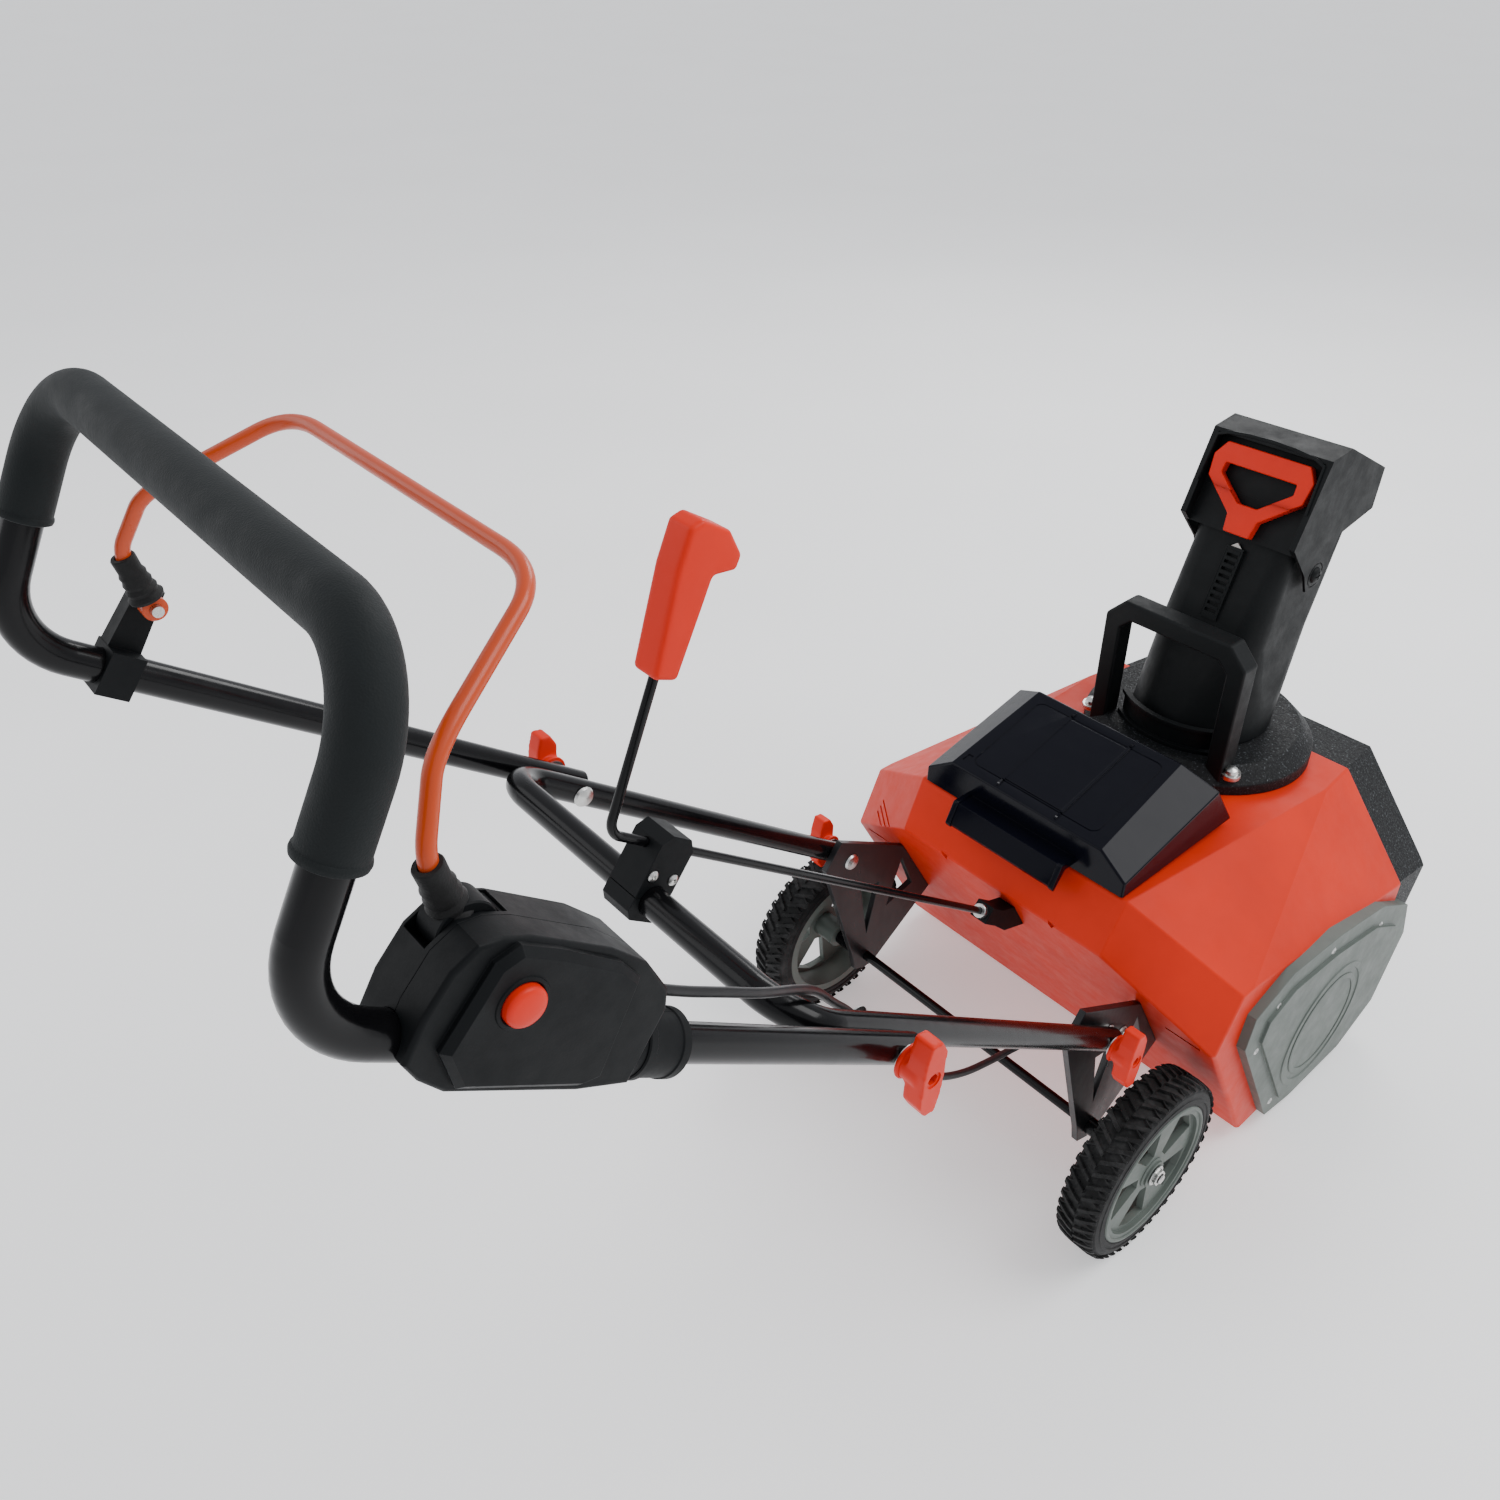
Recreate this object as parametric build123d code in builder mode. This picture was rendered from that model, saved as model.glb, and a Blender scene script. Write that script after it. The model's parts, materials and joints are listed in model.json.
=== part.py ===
"""Cordless single-stage snow thrower with a folding handle.

Frame: +Z up, the intake faces -Y, the operator stands at +Y and the operator's right is -X.
The origin is on the ground under the middle of the scraper bar. Millimetres.
"""
from build123d import *
from math import acos, cos, pi, radians, sin, sqrt, tan
import os

os.makedirs("parts", exist_ok=True)

# ---- driving dimensions ------------------------------------------------------
WALL = 3.0                       # moulded shell thickness
GAP = 0.5                        # space between neighbouring shells
HALF_WIDTH = 265.0               # half the width of the orange housing
FRONT_Y = -215.0                 # front edge of the orange housing
LIP_Y = -290.0                   # front edge of the black scoop

AXLE_Y, AXLE_Z = 268.0, 111.0
AXLE_R = 6.0
WHEEL_R = 111.0
WHEEL_IN, WHEEL_OUT = 219.0, 267.0
RIM_R = 86.0
RUNNING = 0.05                   # radial clearance of a running fit

AUGER_Y, AUGER_Z = -47.0, 130.0
AUGER_R = 114.0
SCOOP_R = 120.0                  # radius of the scoop behind the auger
SCOOP_WALL = 4.0
SCOOP_TANGENT = 35.0             # where the round back turns into the sloping back, degrees
SIDE_WALL_X = 250.0              # outer face of the scoop's side walls under the side covers

CHUTE_Y = -131.0                 # vertical axis the chute turns on
NECK_R = 74.0
RING_TEETH, PINION_TEETH, MODULE = 60, 12, 3.0
DEFLECTOR_PIVOT = (-190.0, 600.0)

LEG_ANGLE = 37.5                 # slope of the handle's legs
TUBE_R, TUBE_WALL = 12.5, 1.6
LOWER_X, UPPER_X = 194.0, 219.5
LOWER_BOLT = (303.0, 287.0)      # Y, Z of the bolts that hold the lower handle
FOLD_DISTANCE = 445.0            # from there up the leg to the fold bolts
CROSSBAR_DISTANCE = 537.0        # and to the lower handle's crossbar
ELBOW_DISTANCE = 950.0           # and to the elbow of the upper handle
GRIP_Y, GRIP_Z = 973.0, 1020.0
LEVER_X = -10.0
LEVER_RISE = 40.0                # of the lever's rod above the legs
LEVER_R = 4.0
LEVER_ELBOW = 597.0              # up the leg to the lever's bend

MOTOR_Y, MOTOR_Z = 120.0, 235.0
BELT_IN, BELT_OUT = -256.0, -270.0
AUGER_PULLEY_R, MOTOR_PULLEY_R = 52.0, 16.0


# ---- helpers -----------------------------------------------------------------
def save(part, label):
    """Label a finished piece and write its STEP file."""
    part.label = label
    export_step(part, f"parts/{label}.step")


def on_leg(distance, rise=0.0):
    """Y, Z of a point up the handle's leg from the lower bolt, and above it."""
    slope = radians(LEG_ANGLE)
    return (LOWER_BOLT[0] + distance * cos(slope) - rise * sin(slope),
            LOWER_BOLT[1] + distance * sin(slope) + rise * cos(slope))


def leg_plane(x):
    """Plane across X with its own x axis up the leg and its origin at the lower bolt."""
    slope = radians(LEG_ANGLE)
    return Plane(origin=(x, *LOWER_BOLT), x_dir=(0, cos(slope), sin(slope)), z_dir=(1, 0, 0))


def slab(outline, x_low, x_high, holes=(), plane=None):
    """Extrude a Y, Z outline from x_low to x_high; holes are outlines too."""
    base = plane if plane else Plane.YZ.offset(x_low)
    with BuildPart() as part:
        with BuildSketch(base):
            with BuildLine():
                Polyline(*outline, close=True)
            make_face()
            for hole in holes:
                with BuildLine():
                    Polyline(*hole, close=True)
                make_face(mode=Mode.SUBTRACT)
        extrude(amount=x_high - x_low)
    return part.part


def rod(y, z, radius, x_low, x_high, bore=0.0):
    """Round bar along X, or a sleeve when a bore is given."""
    with BuildPart() as part:
        with BuildSketch(Plane.YZ.offset(x_low)):
            with Locations((y, z)):
                Circle(radius)
                if bore:
                    Circle(bore, mode=Mode.SUBTRACT)
        extrude(amount=x_high - x_low)
    return part.part


def upright(x, y, radius, z_low, z_high, bore=0.0):
    """Round post along Z, or a sleeve when a bore is given."""
    with BuildPart() as part:
        with BuildSketch(Plane.XY.offset(z_low)):
            with Locations((x, y)):
                Circle(radius)
                if bore:
                    Circle(bore, mode=Mode.SUBTRACT)
        extrude(amount=z_high - z_low)
    return part.part


def block(low, high):
    """Box between two corners."""
    with BuildPart() as part:
        with Locations(tuple((a + b) / 2 for a, b in zip(low, high))):
            Box(*[b - a for a, b in zip(low, high)])
    return part.part


def pipe(points, bend, radius, bore=0.0):
    """Round bar or tube along straight runs joined by tangent arcs."""
    with BuildPart() as part:
        with BuildLine() as path:
            FilletPolyline(*points, radius=bend)
        with BuildSketch(Plane(origin=path.line @ 0, z_dir=path.line % 0)):
            Circle(radius)
            if bore:
                Circle(bore, mode=Mode.SUBTRACT)
        sweep(path=path.line)
    return part.part


def cut_by(part, planes, inset):
    """Keep what lies behind every plane, each moved inwards by inset."""
    for origin, normal in planes:
        length = sqrt(sum(c * c for c in normal))
        moved = [o - inset * n / length for o, n in zip(origin, normal)]
        part = split(part, bisect_by=Plane(origin=moved, z_dir=normal), keep=Keep.BOTTOM)
    return part


def mirrored(part):
    """The same piece on the other side of the machine."""
    return mirror(part, about=Plane.YZ)


# ---- orange housing ----------------------------------------------------------
HOUSING_PLANES = [((0, 248, 327), (0, 0.867, -0.498)),          # rear panel, leaning forward
                  ((0, 248, 327), (0, 0.888, 0.459)),           # rear face under the battery lid
                  ((0, 217, 387), (0, -0.055, 0.998))]          # top
for _side in (-1, 1):
    HOUSING_PLANES += [((_side * 141, 248, 327), (_side * 0.575, 0.738, 0.353)),    # ear
                       ((_side * 144, 217, 387), (_side * 0.559, -0.005, 0.829)),   # shoulder
                       ((_side * 265, -195, 246), (_side * 0.763, -0.110, 0.637))]  # front shoulder

COVER_OUTLINE = [(30, 22), (148, 222), (142, 266), (75, 290), (-30, 280), (-142, 256),
                 (-229, 207), (-253, 146), (-222, 45), (-150, 10), (-30, 10)]


def housing_form(inset, front):
    """Faceted outer form of the housing, moved inwards by inset."""
    half = HALF_WIDTH - inset
    return cut_by(block((-half, front, 20 + inset), (half, 260, 400)), HOUSING_PLANES, inset)


def scoop_profile(radius, floor_y, front_outline):
    """Y, Z section of the space behind and over the auger, as a solid across the machine."""
    turn = radians(SCOOP_TANGENT)
    touch = (AUGER_Y + radius * cos(turn), AUGER_Z + radius * sin(turn))
    climb = (400 - touch[1]) / cos(turn)
    top = (touch[0] - climb * sin(turn), 400)
    with BuildPart() as part:
        with BuildSketch(Plane.YZ.offset(-300)):
            with Locations((AUGER_Y, AUGER_Z)):
                Circle(radius)
            with BuildLine():
                Polyline((floor_y, AUGER_Z), touch, top, *front_outline, close=True)
            make_face()
        extrude(amount=600)
    return part.part


SCOOP_FRONT = [(LIP_Y, 400), (LIP_Y, 235), (-262, 146), (-230, 45), (-150, 8), (-20, 8)]
scoop_outer = (housing_form(WALL + GAP, LIP_Y) + block((-261.5, LIP_Y, 6), (261.5, 90, 24))) \
    & scoop_profile(SCOOP_R + SCOOP_WALL, AUGER_Y, SCOOP_FRONT)
scoop_inner = (housing_form(WALL + GAP + SCOOP_WALL, LIP_Y - 50)
               + block((-246, LIP_Y - 50, -20), (246, 90, 40))) \
    & scoop_profile(SCOOP_R, 4, [(LIP_Y - 50, 400), (LIP_Y - 50, -50), (4, -50)])
side_width = block((-SIDE_WALL_X + SCOOP_WALL, -400, -60), (SIDE_WALL_X - SCOOP_WALL, 300, 420))
scoop_inner = scoop_inner & side_width
side_recess = slab(COVER_OUTLINE, SIDE_WALL_X + GAP, 320) + slab(COVER_OUTLINE, -320, -SIDE_WALL_X - GAP)
neck_hole = upright(0, CHUTE_Y, NECK_R + 1.5, 300, 420)


def make_auger_housing():
    """Black scoop: curved back, sloping back, roof and side walls, open in front and below."""
    scoop = scoop_outer - scoop_inner - side_recess - neck_hole
    for x in (-262, 246):
        scoop = scoop - rod(AUGER_Y, AUGER_Z, 17, x - 1, x + 17)
    save(scoop, "auger_housing")


def make_main_housing():
    """Orange shell over the scoop, open in front, with the battery opening in its top."""
    outer = housing_form(0, FRONT_Y)
    sharp = [e for e in outer.edges() if e.center().Z > 60]
    outer = fillet(sharp, 5)
    shell = outer - housing_form(WALL, FRONT_Y - 50)
    clear = (housing_form(WALL + GAP - 0.1, LIP_Y) + block((-261.6, LIP_Y, 0), (261.6, 90, 30))) \
        & scoop_profile(SCOOP_R + SCOOP_WALL + GAP, AUGER_Y, [(LIP_Y, 400), (LIP_Y, 0), (-20, 0)])
    shell = shell - clear - side_recess - neck_hole
    shell = shell - block((-104, 60, 340), (104, 214, 420)) - block((-266, -216, 0), (266, -150, 60))
    shell = shell - upright(0, CHUTE_Y + 108, 7, 340, 400)
    shell = shell - block((LEVER_X - 9, 190, 279), (LEVER_X + 9, 240, 301))
    slots = [slab([(190, z), (300, z + 20), (300, z + 24), (190, z + 4)], 205, 248)
             for z in (212, 222, 232)]
    for slot in slots:
        shell = shell - slot - mirrored(slot)
    for x in (-78, 66):
        knuckle = slab([(6, 373), (24, 374), (20, 403), (8, 403)], x, x + 12)
        shell = shell + (knuckle - rod(HINGE_Y, HINGE_Z, 2.5, -90, 90))
    save(shell, "main_housing")


def make_side_covers():
    """Gray cover over the belt on the right and a thinner one over the bearing on the left."""
    inner = [(24, 30), (142, 222), (137, 262), (74, 285), (-29, 275), (-140, 251),
             (-224, 204), (-248, 146), (-218, 48), (-148, 14), (-30, 14)]
    raised = [(10, 40), (118, 215), (112, 243), (66, 262), (-28, 254), (-130, 232),
              (-200, 192), (-222, 144), (-196, 62), (-140, 32), (-34, 32)]
    ring = rod(AUGER_Y, AUGER_Z, 86, -281.5, -280) - rod(AUGER_Y, AUGER_Z, 78, -282, -279)
    cover = slab(COVER_OUTLINE, -276, -SIDE_WALL_X - GAP) + slab(raised, -280, -276)
    cover = cover - slab(inner, -273, -SIDE_WALL_X) + ring
    save(cover, "belt_cover")
    left = slab(COVER_OUTLINE, SIDE_WALL_X + GAP, 266) + slab(raised, 266, 269)
    left = left - slab(inner, SIDE_WALL_X, 263)
    save(left, "left_side_cover")


def make_scraper():
    """Replaceable bar that rides on the ground under the scoop's rear edge."""
    bar = slab([(-2, 0), (14, 0), (14, 3), (4, 3), (4, 22), (-2, 22)], -246, 246)
    save(bar, "scraper_bar")


def make_chute_base():
    """Textured black dome that the chute turns in; it covers the ring gear."""
    with BuildPart() as dome:
        with BuildSketch(Plane.YZ):
            with BuildLine():
                Polyline((NECK_R + 2, 350), (138, 350), (138, 386), (120, 404), (NECK_R + 2, 404), close=True)
            make_face()
            with BuildLine():
                Polyline((NECK_R, 340), (131, 340), (131, 386), (127, 390), (NECK_R, 390), close=True)
            make_face(mode=Mode.SUBTRACT)
        revolve(axis=Axis.Z)
    base = Pos(0, CHUTE_Y, 0) * dome.part
    base = base - housing_form(0, FRONT_Y) - housing_form(WALL + GAP, LIP_Y) - block((-150, -300, 340),
                                                                                  (150, 20, 352))
    save(base, "chute_base")
    outline = [(-93, 385), (-93, 540), (-70, 564), (70, 564), (93, 540), (93, 385)]
    opening = [(-75, 380), (-75, 532), (-62, 545), (62, 545), (75, 532), (75, 380)]
    with BuildPart() as handle:
        with BuildSketch(Plane.XZ.offset(34)):
            with BuildLine():
                Polyline(*outline, close=True)
            make_face()
            with BuildLine():
                Polyline(*opening, close=True)
            make_face(mode=Mode.SUBTRACT)
        extrude(amount=24)
        fillet(handle.edges().filter_by(Axis.Y), 4)
    slope = Pos(0, CHUTE_Y, 0) * Solid.make_cone(146, 120, 26, Plane.XY.offset(378))
    save(handle.part - slope, "carry_handle")


# ---- battery compartment -----------------------------------------------------
LID_PLANES = [((0, 218, 431.5), (0, 0.258, 0.966)), ((0, 219, 400), (0, 1, 0.03)),
              ((0, 74, 470), (0, -0.801, 0.598))]
for _side in (-1, 1):
    LID_PLANES.append(((_side * 103, 218, 431.5), (_side * 0.566, 0.191, 0.802)))
HINGE_Y, HINGE_Z = 14.0, 397.0


def lid_form(inset, bottom):
    """Faceted form of the battery lid."""
    return cut_by(block((-138 + inset, 0, bottom), (138 - inset, 230, 480)), LID_PLANES, inset)


def make_battery_bay():
    """Tray, pack, hinged lid with its pull lip, and the hinge pin."""
    outer = lid_form(0, 389)
    outer = fillet([e for e in outer.edges() if e.center().Z > 395], 3)
    lid = outer - lid_form(WALL, 380)
    lip = slab([(217, 404), (241, 404), (252, 380), (250, 376), (236, 398), (217, 398)], -72, 72)
    panel_rib = [slab([(80, 468), (214, 432.5), (214, 434.5), (80, 470.5)], x - 1.5, x + 1.5) for x in (-40, 40)]
    lid = lid + lip
    for rib in panel_rib:
        lid = lid + rib
    for x in (-62, 50):
        ear = slab([(8, 391), (20, 391), (40, 391), (40, 412), (22, 404), (8, 403)], x, x + 12)
        lid = lid + ear
    for x in (-80, 64):
        lid = lid - rod(HINGE_Y, HINGE_Z, 14.5, x, x + 16)
    lid = lid - rod(HINGE_Y, HINGE_Z, 2.5 + RUNNING, -70, 70)
    save(lid, "battery_lid")
    pin = rod(HINGE_Y, HINGE_Z, 2.5, -78, 78)
    save(pin, "lid_hinge_pin")
    tray = block((-103, 61, 342), (103, 213, 384)) - block((-100, 64, 345), (100, 210, 390))
    save(tray, "battery_tray")
    with BuildPart() as pack:
        with Locations((0, 138, 385)):
            Box(120, 118, 78)
        fillet(pack.edges().filter_by(Axis.Z), 8)
        chamfer(pack.faces().sort_by(Axis.Z)[-1].edges(), 3)
        with Locations((0, 138, 424)):
            Box(60, 24, 4, mode=Mode.SUBTRACT)
    save(pack.part, "battery_pack")


# ---- wheels ------------------------------------------------------------------
def make_wheels():
    """Tyre, five-spoke hub and cap on each side, the fixed axle, spacers and brackets."""
    for side, name in ((-1, "right"), (1, "left")):
        x_low = min(side * WHEEL_IN, side * WHEEL_OUT)
        with BuildPart() as tyre:
            with BuildSketch(Plane.XZ):
                with BuildLine():
                    Polyline((x_low, RIM_R), (x_low + 48, RIM_R), (x_low + 48, WHEEL_R - 9),
                             (x_low + 40, WHEEL_R - 1.5), (x_low + 24, WHEEL_R), (x_low + 8, WHEEL_R - 1.5),
                             (x_low, WHEEL_R - 9), close=True)
                make_face()
            revolve(axis=Axis.X)
        save(Pos(0, AXLE_Y, AXLE_Z) * tyre.part, f"tyre_{name}")
        with BuildPart() as hub:
            with BuildSketch(Plane.YZ.offset(x_low + 1)):
                Circle(RIM_R)
                Circle(RIM_R - 10, mode=Mode.SUBTRACT)
            extrude(amount=46)
            with BuildSketch(Plane.YZ.offset(side * (WHEEL_OUT - 10) - 4)):
                Circle(RIM_R - 5)
                with PolarLocations(48, 5):
                    Polygon((-24, -7), (18, -25), (25, 0), (18, 25), (-24, 7), align=None, mode=Mode.SUBTRACT)
            extrude(amount=8)
            with BuildSketch(Plane.YZ.offset(x_low + 1)):
                Circle(16)
            extrude(amount=46)
            with BuildSketch(Plane.YZ.offset(x_low - 5)):
                Circle(AXLE_R + RUNNING)
            extrude(amount=60, mode=Mode.SUBTRACT)
        save(Pos(0, AXLE_Y, AXLE_Z) * hub.part, f"wheel_hub_{name}")
    axle = rod(AXLE_Y, AXLE_Z, AXLE_R, -274, 274)
    for x in (-218.5, 180.5):
        axle = axle + rod(AXLE_Y, AXLE_Z, 10, x, x + 38)
    save(axle, "axle")
    nuts = [rod(AXLE_Y, AXLE_Z, 11, x, x + 6, AXLE_R) for x in (-273.5, 267.5)]
    save(Compound(children=nuts), "axle_nuts")
    outline = [(321, 326), (210.9, 262), (155.2, 165), (248, 97), (268, 91), (287, 98),
               (292, 122), (345, 294)]
    windows = [[(212, 243), (190, 190), (236, 178)], [(252, 226), (284, 232), (270, 150)]]
    brackets = []
    for low in (-180, 172):
        bracket = slab(outline, low, low + 8, windows)
        brackets.append(bracket - rod(AXLE_Y, AXLE_Z, AXLE_R, -300, 300) - rod(*LOWER_BOLT, 4.05, -300, 300))
    save(Compound(children=brackets), "wheel_brackets")


# ---- auger, motor and belt ---------------------------------------------------
def paddle_section(x, angle):
    """Cross-section of a curved rubber blade at x, turned about the shaft."""
    with BuildSketch(Plane(origin=(x, AUGER_Y, AUGER_Z), x_dir=(0, 1, 0), z_dir=(1, 0, 0))) as section:
        with BuildLine():
            Polyline((15, -4), (60, -12), (102, 6), (AUGER_R - 2, 24), (AUGER_R - 8, 27), (96, 13),
                     (58, -5), (15, 4), close=True)
        make_face()
    return section.sketch.rotate(Axis((x, AUGER_Y, AUGER_Z), (1, 0, 0)), angle)


def make_auger():
    """Shaft with two twisted rubber blades, end discs, bearings and the belt pulley."""
    save(rod(AUGER_Y, AUGER_Z, 9.5, -271, 262), "auger_shaft")
    blades = []
    for start in (0, 180):
        for side in (-1, 1):
            stations = [(side * 226, start), (side * 140, start + 28), (side * 54, start + 56)]
            sections = [paddle_section(x, angle) for x, angle in stations]
            blades.append(loft(Sketch() + sections, ruled=True))
        blades.append(extrude(paddle_section(-50, start + 60), amount=100, dir=(1, 0, 0)))
    save(Compound(children=blades), "auger_paddles")
    plates = [rod(AUGER_Y, AUGER_Z, AUGER_R - 4, x, x + 3, 9.5) for x in (-231, 228)]
    arms = [rod(AUGER_Y, AUGER_Z, 14, x, x + 4, 9.5) for x in (-54, 50)]
    save(Compound(children=plates + arms), "auger_discs")
    sleeves = [rod(AUGER_Y, AUGER_Z, 17, x, x + 8, 9.5 + RUNNING) for x in (-251, 243)]
    save(Compound(children=sleeves), "auger_bearings")
    save(rod(AUGER_Y, AUGER_Z, AUGER_PULLEY_R, BELT_OUT, BELT_IN, 9.5), "auger_pulley")
    save(rod(MOTOR_Y, MOTOR_Z, MOTOR_PULLEY_R, BELT_OUT, BELT_IN) + rod(MOTOR_Y, MOTOR_Z, 5, BELT_OUT, -60),
         "motor_pulley")
    can = rod(MOTOR_Y, MOTOR_Z, 38, -150, -50, 5 + RUNNING) + rod(MOTOR_Y, MOTOR_Z, 14, -50, -40)
    save(can, "motor")
    span = (MOTOR_Y - AUGER_Y, MOTOR_Z - AUGER_Z)
    distance = sqrt(span[0] ** 2 + span[1] ** 2)
    along = (span[0] / distance, span[1] / distance)

    def loop(extra):
        big, small = AUGER_PULLEY_R + extra, MOTOR_PULLEY_R + extra
        spread = acos((big - small) / distance)
        corners = []
        for sign, radius, centre in ((1, big, (AUGER_Y, AUGER_Z)), (1, small, (MOTOR_Y, MOTOR_Z)),
                                     (-1, small, (MOTOR_Y, MOTOR_Z)), (-1, big, (AUGER_Y, AUGER_Z))):
            c, s = cos(sign * spread), sin(sign * spread)
            corners.append((centre[0] + radius * (along[0] * c - along[1] * s),
                            centre[1] + radius * (along[0] * s + along[1] * c)))
        with BuildSketch() as outline:
            with BuildLine():
                Polyline(*corners, close=True)
            make_face()
            with Locations((AUGER_Y, AUGER_Z)):
                Circle(big)
            with Locations((MOTOR_Y, MOTOR_Z)):
                Circle(small)
        return outline.sketch

    belt = loop(4) - loop(0.4)
    belt = extrude(Plane.YZ.offset(BELT_OUT + 2) * belt, amount=10)
    save(belt, "drive_belt")


# ---- chute and deflector -----------------------------------------------------
def gear(teeth, bore, turn=0.0):
    """Spur gear outline with involute flanks, thinned a little for backlash."""
    pitch_r = MODULE * teeth / 2
    base_r = pitch_r * cos(radians(20))
    tip_r = pitch_r + 0.9 * MODULE
    root_r = pitch_r - 1.2 * MODULE
    half = pi / (2 * teeth) + tan(radians(20)) - radians(20) - 0.35 / pitch_r
    flank = []
    for step in range(5):
        radius = max(base_r, root_r) + (tip_r - max(base_r, root_r)) * step / 4
        roll = acos(min(1, base_r / radius))
        flank.append((radius, half - (tan(roll) - roll)))
    points = []
    for tooth in range(teeth):
        centre = 2 * pi * tooth / teeth + radians(turn)
        side = ([(root_r, flank[0][1])] if root_r < base_r else []) + flank
        points += [(r * cos(centre - a), r * sin(centre - a)) for r, a in side]
        points += [(r * cos(centre + a), r * sin(centre + a)) for r, a in reversed(side)]
    with BuildSketch() as outline:
        with BuildLine():
            Polyline(*points, close=True)
        make_face()
        Circle(bore, mode=Mode.SUBTRACT)
    return outline.sketch


def chute_sections(inset):
    """Solid through the chute's sections: round at the neck, nearly square above."""
    with BuildPart() as part:
        for z, y, width, depth, corner in ((406, CHUTE_Y - 2, 164, 164, 80), (520, -166, 132, 150, 34),
                                           (640, -212, 122, 138, 18)):
            with BuildSketch(Plane.XY.offset(z)):
                with Locations((0, y)):
                    RectangleRounded(width - 2 * inset, depth - 2 * inset, corner - inset)
        loft(ruled=True)
    return part.part


def make_chute():
    """Turning neck, ring gear, tapered chute, notched rail and the pinion that turns it."""
    lower = upright(0, CHUTE_Y, NECK_R, 352, 406, NECK_R - 4)
    body = chute_sections(0) - chute_sections(3.2)
    body = body - upright(0, CHUTE_Y, NECK_R - 4, 405, 407)
    body = body - extrude(Plane.XY.offset(639) * (Pos(0, -212) * RectangleRounded(115, 131, 14)), amount=2)
    body = body - block((-50, -300, 575), (50, -250, 660))
    body = body - rod(*DEFLECTOR_PIVOT, 4 + RUNNING, -80, 80)
    chute = lower + body + upright(0, CHUTE_Y, 80, 405.5, 408, NECK_R - 4)
    ring = extrude(Plane(origin=(0, CHUTE_Y, 377)) * gear(RING_TEETH, NECK_R, 90 + 180 / RING_TEETH), amount=9)
    save(ring, "chute_ring_gear")
    reach = MODULE * (RING_TEETH + PINION_TEETH) / 2
    pinion = extrude(Plane(origin=(0, CHUTE_Y + reach, 376)) * gear(PINION_TEETH, 3, 270), amount=11)
    save(pinion + upright(0, CHUTE_Y + reach, 5, 360, 389), "chute_pinion")
    with BuildPart() as rail:
        with BuildSketch(Plane(origin=(0, -103.5, 544), x_dir=(-1, 0, 0), z_dir=(0, 0.9308, 0.3652))):
            Rectangle(22, 88, align=(Align.CENTER, Align.MIN))
            with GridLocations(0, 8.5, 1, 9):
                with Locations((0, 44)):
                    Rectangle(14, 3.5, mode=Mode.SUBTRACT)
        extrude(amount=4.5)
    save(chute + rail.part, "chute")


HOOD = [(-122, 652), (-163, 746), (-203, 751), (-302, 702), (-298, 652), (-226, 640), (-206, 584),
        (-176, 582), (-164, 606)]
HOOD_HALF = 73.0
HOOD_BACK = Plane(origin=(0, -122, 652), x_dir=(-1, 0, 0), z_dir=(0, 0.9165, 0.4))


def make_deflector():
    """Hood that throws the snow up or down, its pivot bolts and the trigger that releases it."""
    hood = slab(HOOD, -HOOD_HALF, HOOD_HALF)
    inside = slab([(-140, 644), (-180, 735), (-205, 746), (-299, 698.5), (-420, 640), (-420, 500), (-90, 500),
                   (-90, 600)], 3 - HOOD_HALF, HOOD_HALF - 3)
    pocket = extrude(HOOD_BACK.offset(-16.5) * (Pos(0, 44) * Rectangle(132, 108)), amount=40)
    hood = hood - inside - pocket - rod(*DEFLECTOR_PIVOT, 4.0, -80, 80)
    save(hood, "deflector_hood")
    bolts = []
    for side in (-1, 1):
        low = min(side * 55, side * 76)
        head = min(side * HOOD_HALF, side * (HOOD_HALF + 5))
        bolts.append(rod(*DEFLECTOR_PIVOT, 4.0, low, low + 21) + rod(*DEFLECTOR_PIVOT, 8, head, head + 5))
    save(Compound(children=bolts), "deflector_bolts")
    face = HOOD_BACK.offset(-15)
    with BuildPart() as trigger:
        with BuildSketch(face):
            with BuildLine():
                Polyline((-16, -5), (16, -5), (19, 15), (59, 49), (62, 74), (51, 91), (-51, 91), (-62, 74),
                         (-59, 49), (-19, 15), close=True)
            make_face()
            with BuildLine():
                Polyline((-12, 29), (12, 29), (45, 56), (44, 68), (-44, 68), (-45, 56), close=True)
            make_face(mode=Mode.SUBTRACT)
        extrude(amount=13)
    rear = [e for e in trigger.part.edges() if face.to_local_coords(e.center()).Z > 12.9]
    save(fillet(rear, 1.5), "deflector_trigger")


# ---- handle ------------------------------------------------------------------
def at(x, distance, rise=0.0):
    """Point at x, up the leg and above it."""
    return (x, *on_leg(distance, rise))


def leg_cylinder(x, rise, start, end, radius):
    """Round bar parallel to the handle's legs."""
    direction = (0, cos(radians(LEG_ANGLE)), sin(radians(LEG_ANGLE)))
    with BuildPart() as part:
        with BuildSketch(Plane(origin=at(x, start, rise), z_dir=direction)):
            Circle(radius)
        extrude(amount=end - start)
    return part.part


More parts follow.
